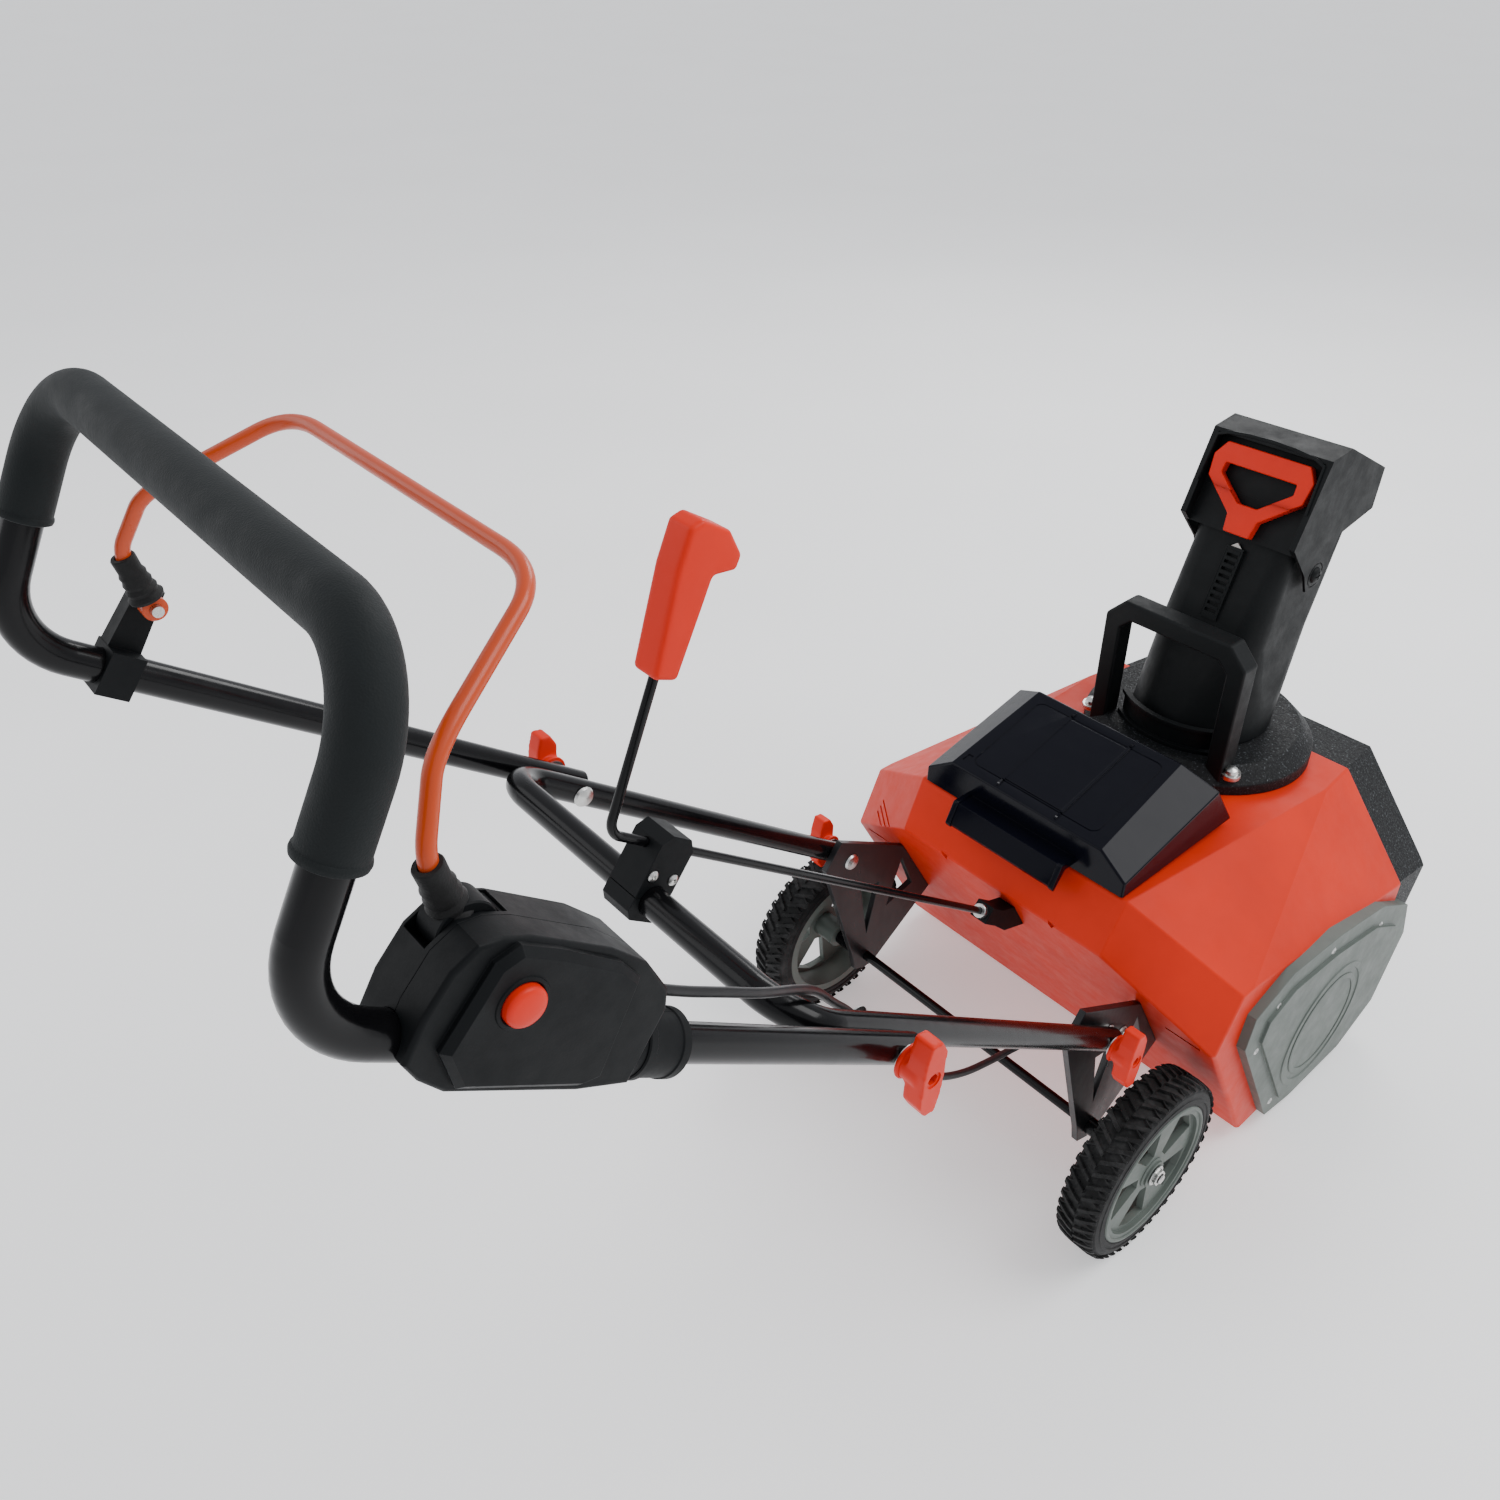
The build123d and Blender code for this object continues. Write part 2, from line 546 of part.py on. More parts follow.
def make_lower_handle():
    """U-shaped lower handle, its carriage bolts and the bolts on the brackets."""
    points = [at(-LOWER_X, -22), at(-LOWER_X, CROSSBAR_DISTANCE), at(LOWER_X, CROSSBAR_DISTANCE),
              at(LOWER_X, -22)]
    tube = pipe(points, 45, TUBE_R, TUBE_R - TUBE_WALL)
    fold = on_leg(FOLD_DISTANCE)
    tube = tube - rod(*LOWER_BOLT, 4.05, -300, 300) - rod(*fold, 4.05, -300, 300)
    save(tube, "lower_handle")
    bolts = []
    for side in (-1, 1):
        for centre, inner, outer in ((LOWER_BOLT, 172, 226), (fold, 181.4, 252)):
            shank = rod(*centre, 4.0, min(side * inner, side * outer), max(side * inner, side * outer))
            head = rod(*centre, 9, min(side * (inner - 4), side * inner), max(side * (inner - 4), side * inner))
            bolts.append(shank + head)
    save(Compound(children=bolts), "carriage_bolts")
    heads = []
    for side in (-1, 1):
        for distance in (-42, -78):
            y, z = on_leg(distance)
            heads.append(rod(y, z, 7, min(side * 180, side * 185), max(side * 180, side * 185)))
    for x in (LEVER_X - 10, LEVER_X + 10):
        y, z = on_leg(522.5, -19)
        down = (0, sin(radians(LEG_ANGLE)), -cos(radians(LEG_ANGLE)))
        heads.append(extrude(Plane(origin=(x, y, z), z_dir=down) * Circle(3.2), amount=3))
    save(Compound(children=heads), "frame_bolts")


def wing_knob(centre, side, seat):
    """Two-winged clamping knob on a bolt along X, standing on the seat."""
    low = min(side * seat, side * (seat + 18))
    outline = [(-11, -7), (-13, 22), (-7, 34), (4, 36), (9, 20), (11, 7), (13, -22), (7, -34), (-4, -36),
               (-9, -20)]
    moved = [(centre[0] + u, centre[1] + v) for u, v in outline]
    wing_low = min(side * (seat + 8), side * (seat + 26))
    knob = rod(*centre, 13, low, low + 18) + slab(moved, wing_low, wing_low + 18)
    knob = fillet([e for e in knob.edges().filter_by(Axis.X) if e.length > 16], 1.5)
    reach = seat + 19.5
    return knob - rod(*centre, 4.0 + RUNNING, min(0, side * reach), max(0, side * reach))


def make_knobs():
    """Wing knobs and washers: two clamp the lower handle and two the fold."""
    fold = on_leg(FOLD_DISTANCE)
    washers = []
    for side, name in ((-1, "right"), (1, "left")):
        save(wing_knob(LOWER_BOLT, side, 208.5), f"lower_knob_{name}")
        save(wing_knob(fold, side, 234), f"fold_knob_{name}")
        low = min(side * 206.6, side * 208.2)
        washers.append(rod(*LOWER_BOLT, 12, low, low + 1.6, 4.0))
        low = min(side * 232.1, side * 233.7)
        washers.append(rod(*fold, 12, low, low + 1.6, 4.0))
    save(Compound(children=washers), "knob_washers")


def make_upper_handle():
    """Upper handle tube with its foam sleeve and end plugs."""
    points = [at(-UPPER_X, FOLD_DISTANCE - 24), at(-UPPER_X, ELBOW_DISTANCE), (-UPPER_X, GRIP_Y, GRIP_Z),
              (UPPER_X, GRIP_Y, GRIP_Z), at(UPPER_X, ELBOW_DISTANCE), at(UPPER_X, FOLD_DISTANCE - 24)]
    tube = pipe(points, 55, TUBE_R, TUBE_R - TUBE_WALL)
    tube = tube - rod(*on_leg(FOLD_DISTANCE), 4.05, -300, 300)
    save(tube, "upper_handle")
    elbow = on_leg(ELBOW_DISTANCE)
    lift = 0.48
    start_y, start_z = (elbow[0] + lift * (GRIP_Y - elbow[0]), elbow[1] + lift * (GRIP_Z - elbow[1]))
    sleeve = pipe([(-UPPER_X, start_y, start_z), (-UPPER_X, GRIP_Y, GRIP_Z), (UPPER_X, GRIP_Y, GRIP_Z),
                   (UPPER_X, start_y, start_z)], 55, 16.5, TUBE_R + 0.02)
    save(sleeve, "foam_grip")


BOX = [(738, -14), (738, 34), (745, 46), (770, 60), (800, 66), (856, 68), (872, 66), (884, 60), (892, 45),
       (895, 20), (893, -4), (880, -12), (862, -18), (775, -18)]
BOX_FACE = [(768, -6), (776, 54), (794, 61), (838, 65), (864, 65), (874, 54), (880, 6), (860, -13), (781, -12)]
BUTTON = (850.0, 37.0)
BAIL_PIVOT = (872.0, 54.0)
BAIL_R = 5.0


def make_switch_box():
    """Two box halves round the right leg, the switch, front collar and safety button."""
    cavity = [(742, 16), (742, 32), (748, 42), (771, 55.5), (800, 61.5), (850, 63.5), (850, 16)]
    bore = pipe([at(-UPPER_X, 690), at(-UPPER_X, ELBOW_DISTANCE), (-UPPER_X, GRIP_Y, GRIP_Z)], 55, TUBE_R + 0.05)
    pivot = on_leg(*BAIL_PIVOT)
    button = on_leg(*BUTTON)
    slot = slab([(856, 42), (888, 42), (930, 60), (930, 120), (856, 120)], -216, -196, plane=leg_plane(-216))
    face = slab(BOX_FACE, -247, -239.5, plane=leg_plane(-247))
    face = chamfer([e for e in face.edges() if abs(e.center().X + 247) < 0.1], 4)
    for name, low, high in (("switch_box_outer", -240.0, -UPPER_X - 0.1), ("switch_box_inner", -UPPER_X + 0.1, -192.0)):
        outer = slab(BOX, low, high, plane=leg_plane(low))
        outer_x = min((low, high), key=lambda x: -abs(x + UPPER_X))
        outer = fillet([e for e in outer.edges() if abs(e.center().X - outer_x) < 0.1], 3)
        inner_low, inner_high = max(low, -237.0), min(high, -195.0)
        collar = leg_cylinder(-UPPER_X, 0, 698, 741, 20) & block((low, 600, 500), (high, 1100, 1000))
        shell = outer + collar
        if name == "switch_box_outer":
            shell = shell + face
        shell = shell - slab(cavity, inner_low, inner_high, plane=leg_plane(inner_low)) - bore - slot
        save(shell - rod(*pivot, 4, -226, -190) - rod(*button, 12, -260, -234.5), name)
    save(rod(*button, 11.5, -253, -239), "safety_button")
    module = slab([(770, 20), (846, 20), (846, 46), (770, 46)], -234, -200, plane=leg_plane(-234))
    save(module, "switch_module")


def make_bail():
    """Bent rod in front of the grip; squeezing it towards the grip starts the motor."""
    pivot = on_leg(*BAIL_PIVOT)
    arm = [(206, *pivot), (206, 972, 905), (190, 952, 946), (146, 862, 990)]
    route = [(-x, y, z) for x, y, z in arm] + list(reversed(arm))
    bail = pipe(route, 20, BAIL_R)
    for x in (-212, 200):
        bail = bail + rod(*pivot, 8, x, x + 12)
    save(bail - rod(*pivot, 4 + RUNNING, -220, 220), "bail")
    sleeves = []
    for side in (-1, 1):
        start, end = Vector(side * 206, *pivot), Vector(side * 206, 972, 905)
        reach = (end - start).normalized()
        with BuildPart() as sleeve:
            with BuildSketch(Plane(origin=start + reach * 10, z_dir=reach)):
                Circle(8.5)
                Circle(BAIL_R, mode=Mode.SUBTRACT)
            extrude(amount=30, taper=4)
        sleeves.append(sleeve.part)
    save(Compound(children=sleeves), "bail_boots")
    pins = [rod(*pivot, 4, -226, -195), rod(*pivot, 4, 195, 232)]
    save(Compound(children=pins), "bail_pivot_pins")
    clamp = slab([(860, -16), (884, -16), (884, 16), (860, 16)], 204, 235, plane=leg_plane(204))
    ear = slab([(860, 10), (884, 10), (881, 63), (863, 63)], 217, 232, plane=leg_plane(217))
    clip = clamp + ear - leg_cylinder(UPPER_X, 0, 840, 910, TUBE_R + 0.05) - rod(*pivot, 4, 190, 240)
    save(clip, "bail_clip")


# ---- chute control -----------------------------------------------------------
SHAFT_START, SHAFT_END = (224.0, 289.5), (0.0, 352.0)
GEARBOX_LOW, GEARBOX_HIGH = (-24, -34, 343), (22, 8, 367)
LEVER_TOP = (660.0, 900.0)


def make_chute_control():
    """Lever with its rod, grip, clamp, end bearing, inner shaft and gearbox."""
    lever = pipe([at(LEVER_X, -10, LEVER_RISE), at(LEVER_X, LEVER_ELBOW, LEVER_RISE), (LEVER_X, *LEVER_TOP)], 16,
                 LEVER_R)
    save(lever, "control_lever")
    elbow = on_leg(LEVER_ELBOW, LEVER_RISE)
    run = Vector(0, LEVER_TOP[0] - elbow[0], LEVER_TOP[1] - elbow[1]).normalized()
    frame = Plane(origin=Vector(LEVER_X - 14, *elbow) + run * 129, x_dir=run, z_dir=(1, 0, 0))
    with BuildPart() as grip:
        with BuildSketch(frame):
            with BuildLine():
                Polyline((0, -11), (0, 11), (60, 15), (80, 16), (86, 36), (98, 37), (114, 20), (119, -8), (112, -17),
                         (80, -18), close=True)
            make_face()
        extrude(amount=28)
        fillet(grip.edges(), 4)
    bore_plane = Plane(origin=Vector(LEVER_X, *elbow) + run * 100, z_dir=run)
    core = extrude(bore_plane * Circle(LEVER_R), amount=160)
    save(grip.part - core - lever, "lever_grip")
    rod_bore = leg_cylinder(LEVER_X, LEVER_RISE, -12, 600, LEVER_R + RUNNING)
    bar_bore = rod(*on_leg(CROSSBAR_DISTANCE), TUBE_R + 0.05, LEVER_X - 60, LEVER_X + 60)
    upper = slab([(519, 0.2), (519, 46), (527, 55), (548, 55), (556, 46), (556, 0.2)], LEVER_X - 17, LEVER_X + 17,
                 plane=leg_plane(LEVER_X - 17))
    lower = slab([(519, -0.2), (519, -12), (525, -19), (550, -19), (556, -12), (556, -0.2)], LEVER_X - 17,
                 LEVER_X + 17, plane=leg_plane(LEVER_X - 17))
    save(Compound(children=[upper - rod_bore - bar_bore, lower - bar_bore]), "lever_clamp")
    bearing = slab([(275.7, 329), (288, 313), (269, 298.5), (250, 280), (214, 268), (237, 308), (256.5, 314.5)],
                   LEVER_X - 11, LEVER_X + 11)
    behind_panel = cut_by(block((-150, 0, 0), (150, 400, 400)), HOUSING_PLANES[:1], 0)
    save(bearing - rod_bore - behind_panel, "lever_end_bearing")
    span = Vector(0, SHAFT_END[0] - SHAFT_START[0], SHAFT_END[1] - SHAFT_START[1])
    shaft = extrude(Plane(origin=(LEVER_X, *SHAFT_START), z_dir=span.normalized()) * Circle(5), amount=span.length)
    save(shaft, "chute_drive_shaft")
    shaft_bore = extrude(Plane(origin=(LEVER_X, *SHAFT_START), z_dir=span.normalized()) * Circle(5 + RUNNING),
                         amount=span.length + 2)
    reach = MODULE * (RING_TEETH + PINION_TEETH) / 2
    box = block(GEARBOX_LOW, GEARBOX_HIGH) - shaft_bore - upright(0, CHUTE_Y + reach, 5 + RUNNING, 356, 400)
    save(box, "chute_gearbox")


# ---- power lead --------------------------------------------------------------
CABLE_R = 3.5
UPPER_CABLE = [at(-208, 737.9, 28), at(-207, 694, 26), at(-206, 650, 27.5), at(-203, 604, 27), at(-192, 556, 26),
               at(-177, 508, 18), at(-171, 470, 6), at(-171, 451, 0)]
LOWER_CABLE = [at(-171, 439, -1), at(-171, 410, -14), at(-172, 362, -34), at(-172, 306, -52), at(-170, 248, -62),
               at(-164, 190, -62), at(-156, 132, -54), at(-150, 76, -40), at(-148, 26, -26), (-148, 222, 219),
               (-148, 197, 214)]


def bend_radii(points):
    """As large an arc at each corner as its two runs allow."""
    radii = []
    for before, corner, after in zip(points, points[1:], points[2:]):
        into, out = Vector(*corner) - Vector(*before), Vector(*after) - Vector(*corner)
        turn = radians(into.get_angle(out))
        radii.append(0.45 * min(into.length, out.length) / tan(turn / 2))
    return radii


def make_cable():
    """Lead from the switch box to the housing, in two runs that meet at the fold."""
    for name, points in (("power_lead_upper", UPPER_CABLE), ("power_lead_lower", LOWER_CABLE)):
        with BuildPart() as lead:
            with BuildLine() as path:
                FilletPolyline(*points, radius=bend_radii(points))
            with BuildSketch(Plane(origin=path.line @ 0, z_dir=path.line % 0)):
                Circle(CABLE_R)
            sweep(path=path.line)
        save(lead.part, name)


for make in (make_auger_housing, make_main_housing, make_side_covers, make_scraper, make_chute_base,
             make_battery_bay, make_wheels, make_auger, make_chute, make_deflector, make_lower_handle, make_knobs,
             make_upper_handle, make_switch_box, make_bail, make_chute_control, make_cable):
    make()
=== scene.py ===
"""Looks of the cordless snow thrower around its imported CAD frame.

Everything is in metres in the row frame: +Z up, the intake faces -Y, the operator stands at +Y.
"""
import json
import math

import bmesh
import bpy
from mathutils import Matrix, Vector


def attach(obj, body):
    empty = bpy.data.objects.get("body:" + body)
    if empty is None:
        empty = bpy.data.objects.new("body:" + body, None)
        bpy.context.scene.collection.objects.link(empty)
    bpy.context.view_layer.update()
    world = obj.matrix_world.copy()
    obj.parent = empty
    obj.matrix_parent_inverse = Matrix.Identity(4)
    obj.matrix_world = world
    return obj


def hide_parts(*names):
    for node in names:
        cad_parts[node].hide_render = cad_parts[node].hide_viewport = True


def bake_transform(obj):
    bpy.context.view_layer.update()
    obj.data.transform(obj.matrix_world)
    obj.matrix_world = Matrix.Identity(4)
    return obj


MM = 0.001
X_AXIS = (1, 0, 0)
Y_AXIS = (0, 1, 0)
Z_AXIS = (0, 0, 1)
MELT_VOXEL = 1.3

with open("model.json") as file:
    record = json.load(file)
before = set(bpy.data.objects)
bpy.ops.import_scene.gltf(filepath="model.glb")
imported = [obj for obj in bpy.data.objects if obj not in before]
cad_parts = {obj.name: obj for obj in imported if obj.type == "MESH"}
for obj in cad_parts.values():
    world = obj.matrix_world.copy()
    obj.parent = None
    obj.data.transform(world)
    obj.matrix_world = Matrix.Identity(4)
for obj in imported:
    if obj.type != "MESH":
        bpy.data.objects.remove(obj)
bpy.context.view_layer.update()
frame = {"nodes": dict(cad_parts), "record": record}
nodes = frame["nodes"]
bodies = frame["record"]["behaviour"]["bodies"]
BODY_OF = {node: body for body, members in bodies.items() for node in members}
SLOT_OF = {part["node"]: part["material_slot"] for part in frame["record"]["subparts"]}

LEG_ANGLE = math.radians(37.5)
LOWER_BOLT = Vector((0, 303, 287)) * MM
UP_LEG = Vector((0, math.cos(LEG_ANGLE), math.sin(LEG_ANGLE)))
OFF_LEG = Vector((0, -math.sin(LEG_ANGLE), math.cos(LEG_ANGLE)))
AXLE = Vector((0, 268, 111)) * MM
CHUTE = Vector((0, -131, 0)) * MM


def on_leg(x, distance, rise=0.0):
    """Point at x, up the handle's leg from the lower bolt and above it, given in millimetres."""
    return LOWER_BOLT + Vector((x * MM, 0, 0)) + UP_LEG * (distance * MM) + OFF_LEG * (rise * MM)


FOLD_BOLT = on_leg(0, 445)
BAIL_PIVOT = on_leg(0, 872, 54)
BAIL_X = 206
LEVER_X, LEVER_RISE = -10, 40
HOOD_PIVOT = Vector((0, -190, 600)) * MM
HOOD_HALF = 73


# ---- materials ---------------------------------------------------------------
def new_material(name):
    """A node material with its shader and a coordinate node in the row frame."""
    material = bpy.data.materials.new(name)
    material.use_nodes = True
    tree = material.node_tree
    shader = tree.nodes["Principled BSDF"]
    coordinates = tree.nodes.new("ShaderNodeTexCoord")
    return material, tree, shader, coordinates.outputs["Object"]


def noise(tree, vector, scale, detail=3.0, roughness=0.55, stretch=None):
    """Noise texture's value; stretch scales the axes first."""
    if stretch:
        mapping = tree.nodes.new("ShaderNodeMapping")
        mapping.inputs["Scale"].default_value = stretch
        tree.links.new(vector, mapping.inputs["Vector"])
        vector = mapping.outputs["Vector"]
    texture = tree.nodes.new("ShaderNodeTexNoise")
    texture.inputs["Scale"].default_value = scale
    texture.inputs["Detail"].default_value = detail
    texture.inputs["Roughness"].default_value = roughness
    tree.links.new(vector, texture.inputs["Vector"])
    return texture.outputs["Fac"]


def cells(tree, vector, scale):
    """Voronoi distance to the nearest cell centre."""
    texture = tree.nodes.new("ShaderNodeTexVoronoi")
    texture.feature = "F1"
    texture.inputs["Scale"].default_value = scale
    tree.links.new(vector, texture.inputs["Vector"])
    return texture.outputs["Distance"]


def ramp(tree, value, stops):
    """Colour ramp; stops are (position, colour)."""
    node = tree.nodes.new("ShaderNodeValToRGB")
    tree.links.new(value, node.inputs["Fac"])
    elements = node.color_ramp.elements
    while len(elements) < len(stops):
        elements.new(0.5)
    for element, (position, colour) in zip(elements, stops):
        element.position = position
        element.color = (*colour, 1)
    return node.outputs["Color"]


def spread(tree, value, low, high, from_low=0.3, from_high=0.7):
    """Maps a texture's value to a range."""
    node = tree.nodes.new("ShaderNodeMapRange")
    node.inputs["From Min"].default_value = from_low
    node.inputs["From Max"].default_value = from_high
    node.inputs["To Min"].default_value = low
    node.inputs["To Max"].default_value = high
    tree.links.new(value, node.inputs["Value"])
    return node.outputs["Result"]


def bump(tree, shader, layers):
    """Stacks bump layers, each (height, strength, distance in metres)."""
    last = None
    for height, strength, distance in layers:
        node = tree.nodes.new("ShaderNodeBump")
        node.inputs["Strength"].default_value = strength
        node.inputs["Distance"].default_value = distance
        tree.links.new(height, node.inputs["Height"])
        if last:
            tree.links.new(last, node.inputs["Normal"])
        last = node.outputs["Normal"]
    tree.links.new(last, shader.inputs["Normal"])


def tinted(colour, factor):
    """Colour made lighter or darker by a factor."""
    return tuple(min(1.0, c * factor) for c in colour)


def plastic(name, colour, rough, grain=900, depth=0.00006, mottling=0.1, shine=0.5):
    """Moulded plastic: fine grain, faint colour drift and uneven gloss."""
    material, tree, shader, at = new_material(name)
    drift = noise(tree, at, 9, 4)
    tree.links.new(ramp(tree, drift, [(0.3, tinted(colour, 1 - mottling)), (0.7, tinted(colour, 1 + mottling))]),
                   shader.inputs["Base Color"])
    wear = noise(tree, at, 38, 6, 0.7)
    tree.links.new(spread(tree, wear, *rough), shader.inputs["Roughness"])
    shader.inputs["Specular IOR Level"].default_value = shine
    bump(tree, shader, [(noise(tree, at, grain, 2), 0.5, depth), (noise(tree, at, 55, 2), 0.25, 0.0004)])
    return material


def textured(name, colour, painted_glint):
    """Coarse spark-eroded plastic whose bright flecks on the grain are painted glints: a painted highlight in the
    base colour.
    """
    material, tree, shader, at = new_material(name)
    grain = noise(tree, at, 420, 3, 0.6)
    # the brightest grain tips take a painted glint colour: a painted highlight, not the plastic's own colour
    tree.links.new(ramp(tree, grain, [(0.45, colour), (0.62, tinted(colour, 2.2)), (0.72, painted_glint)]),
                   shader.inputs["Base Color"])
    tree.links.new(spread(tree, grain, 0.75, 0.42), shader.inputs["Roughness"])
    shader.inputs["Specular IOR Level"].default_value = 0.22
    bump(tree, shader, [(grain, 0.9, 0.0005), (noise(tree, at, 60, 2), 0.2, 0.0006)])
    return material


def gloss(name, colour, rough, coat, dust, shine=0.5):
    """Glossy lacquer or polished plastic with smears and a little dust."""
    material, tree, shader, at = new_material(name)
    drift = noise(tree, at, 14, 5, 0.6)
    dusty = tuple(c + dust for c in colour)
    tree.links.new(ramp(tree, drift, [(0.35, colour), (0.75, dusty)]), shader.inputs["Base Color"])
    smear = noise(tree, at, 24, 6, 0.7, stretch=(1, 2.5, 1))
    tree.links.new(spread(tree, smear, *rough), shader.inputs["Roughness"])
    shader.inputs["Specular IOR Level"].default_value = shine
    shader.inputs["Coat Weight"].default_value = coat
    shader.inputs["Coat Roughness"].default_value = 0.06
    bump(tree, shader, [(noise(tree, at, 260, 2), 0.15, 0.00008), (noise(tree, at, 30, 2), 0.12, 0.0004)])
    return material


def metal(name, colour, rough=(0.22, 0.42)):
    """Plated or machined steel with fine drawn lines."""
    material, tree, shader, at = new_material(name)
    lines = noise(tree, at, 3, 4, 0.6, stretch=(30, 400, 400))
    tree.links.new(ramp(tree, lines, [(0.3, tinted(colour, 0.75)), (0.7, tinted(colour, 1.1))]),
                   shader.inputs["Base Color"])
    tree.links.new(spread(tree, lines, *rough), shader.inputs["Roughness"])
    shader.inputs["Metallic"].default_value = 1.0
    bump(tree, shader, [(lines, 0.2, 0.00005)])
    return material


def rubber(name, colour, rough=(0.6, 0.85), pore=700, depth=0.0002, dust=(0.12, 0.12, 0.12)):
    """Rubber or foam with pores and dust in its hollows."""
    material, tree, shader, at = new_material(name)
    drift = noise(tree, at, 40, 6, 0.7)
    tree.links.new(ramp(tree, drift, [(0.45, colour), (0.8, dust)]), shader.inputs["Base Color"])
    tree.links.new(spread(tree, drift, *rough), shader.inputs["Roughness"])
    shader.inputs["Specular IOR Level"].default_value = 0.2
    shader.inputs["Sheen Weight"].default_value = 0.04
    bump(tree, shader, [(cells(tree, at, pore), 0.5, depth), (noise(tree, at, 120, 3), 0.3, 0.0002)])
    return material


MATERIALS = {
    "housing_orange": plastic("moulded_orange", (0.62, 0.020, 0.0012), (0.38, 0.54), mottling=0.08, shine=0.18),
    # the last colour is a painted glint on the grain, a painted highlight
    "scoop_black": textured("textured_black", (0.0035, 0.004, 0.0045), (0.10, 0.11, 0.12)),
    "chute_black": plastic("satin_black", (0.0042, 0.0052, 0.0056), (0.45, 0.62), grain=650, depth=0.00012,
                           shine=0.16),
    "cover_gray": plastic("moulded_gray", (0.10, 0.118, 0.104), (0.42, 0.62), grain=700, mottling=0.12, shine=0.35),
    "lid_black": gloss("glossy_lid", (0.0016, 0.0019, 0.0050), (0.12, 0.22), coat=0.0, dust=0.001, shine=0.13),
    "tray_black": plastic("tray_black", (0.02, 0.02, 0.02), (0.45, 0.6)),
    "pack_dark": plastic("pack_dark", (0.03, 0.03, 0.032), (0.45, 0.65)),
    "tube_black": gloss("tube_lacquer", (0.0025, 0.0025, 0.003), (0.16, 0.28), coat=0.08, dust=0.002, shine=0.17),
    "bracket_black": gloss("bracket_lacquer", (0.005, 0.005, 0.006), (0.25, 0.42), coat=0.1, dust=0.006, shine=0.3),
    "zinc": metal("zinc_plate", (0.62, 0.62, 0.60)),
    "scraper_black": plastic("scraper_black", (0.03, 0.03, 0.03), (0.5, 0.7), mottling=0.3),
    "tyre_black": rubber("tyre_rubber", (0.005, 0.005, 0.005), (0.6, 0.85), 500, dust=(0.05, 0.05, 0.05)),
    "paddle_rubber": rubber("paddle_rubber", (0.010, 0.010, 0.010), (0.5, 0.8), 300, dust=(0.022, 0.022, 0.022)),
    "disc_black": gloss("disc_paint", (0.012, 0.012, 0.013), (0.25, 0.45), coat=0.2, dust=0.02),
    "foam_gray": rubber("grip_foam", (0.0055, 0.0075, 0.0078), (0.6, 0.8), 950, 0.00025, (0.010, 0.0125, 0.013)),
    "switch_black": plastic("box_black", (0.0036, 0.0044, 0.0050), (0.45, 0.62), grain=800, depth=0.0001,
                            shine=0.14),
    "button_orange": plastic("button_orange", (0.64, 0.014, 0.0008), (0.3, 0.42), grain=1200, depth=0.00003,
                             shine=0.22),
    "grip_orange": plastic("grip_orange", (0.66, 0.016, 0.0008), (0.36, 0.5), mottling=0.06, shine=0.2),
    "bail_brown": gloss("bail_coat", (0.50, 0.052, 0.006), (0.26, 0.4), coat=0.12, dust=0.004, shine=0.3),
    "boot_black": rubber("boot_rubber", (0.005, 0.005, 0.005), (0.5, 0.7), dust=(0.02, 0.02, 0.02)),
    "motor_dark": gloss("motor_paint", (0.03, 0.03, 0.032), (0.3, 0.45), coat=0.1, dust=0.02),
    "gear_nylon": plastic("nylon", (0.55, 0.54, 0.50), (0.35, 0.5), mottling=0.05),
    "belt_rubber": rubber("belt_rubber", (0.015, 0.015, 0.015)),
    "pulley_alloy": metal("cast_alloy", (0.55, 0.56, 0.58), (0.35, 0.55)),
    "lead_black": plastic("lead_sheath", (0.006, 0.006, 0.007), (0.34, 0.46), grain=1500, depth=0.00002, shine=0.3),
}


def dress(obj, slot):
    """Gives an object the material of a slot on every face."""
    obj.data.materials.clear()
    obj.data.materials.append(MATERIALS[slot])
    return obj


for node, obj in nodes.items():
    dress(obj, SLOT_OF[node])


# ---- mesh helpers ------------------------------------------------------------
def smooth(mesh, angle):
    """Shades smooth, with sharp edges past an angle in degrees."""
    mesh.shade_smooth()
    mesh.set_sharp_from_angle(angle=math.radians(angle))


def link(mesh, name):
    """Object in the scene for a mesh."""
    obj = bpy.data.objects.new(name, mesh)
    bpy.context.scene.collection.objects.link(obj)
    return obj


def build(made, name, matrix=None):
    """Object from a bmesh, moved by a frame's matrix."""
    mesh = bpy.data.meshes.new(name)
    made.to_mesh(mesh)
    made.free()
    if matrix:
        mesh.transform(matrix)
    return link(mesh, name)


def skin(made, rings):
    """Quads between each closed ring of vertices and the next."""
    for here, after in zip(rings, rings[1:]):
        for i in range(len(here)):
            j = (i + 1) % len(here)
            made.faces.new((here[i], here[j], after[j], after[i]))


def place(obj, node=None, body=None, slot=None, angle=35):
    """Shades a finished piece, dresses it and rides it on its body; node is the CAD node it stands for."""
    smooth(obj.data, angle)
    weighted = obj.modifiers.new("weighted", "WEIGHTED_NORMAL")
    weighted.keep_sharp = True
    apply_modifiers(obj)
    slot = slot or SLOT_OF[node]
    dress(obj, slot)
    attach(obj, body or BODY_OF[node])
    if node:
        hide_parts(node)
    return obj


def apply_modifiers(obj):
    """Replaces the object's mesh by its evaluated one."""
    depsgraph = bpy.context.evaluated_depsgraph_get()
    mesh = bpy.data.meshes.new_from_object(obj.evaluated_get(depsgraph))
    obj.modifiers.clear()
    obj.data = mesh
    return obj


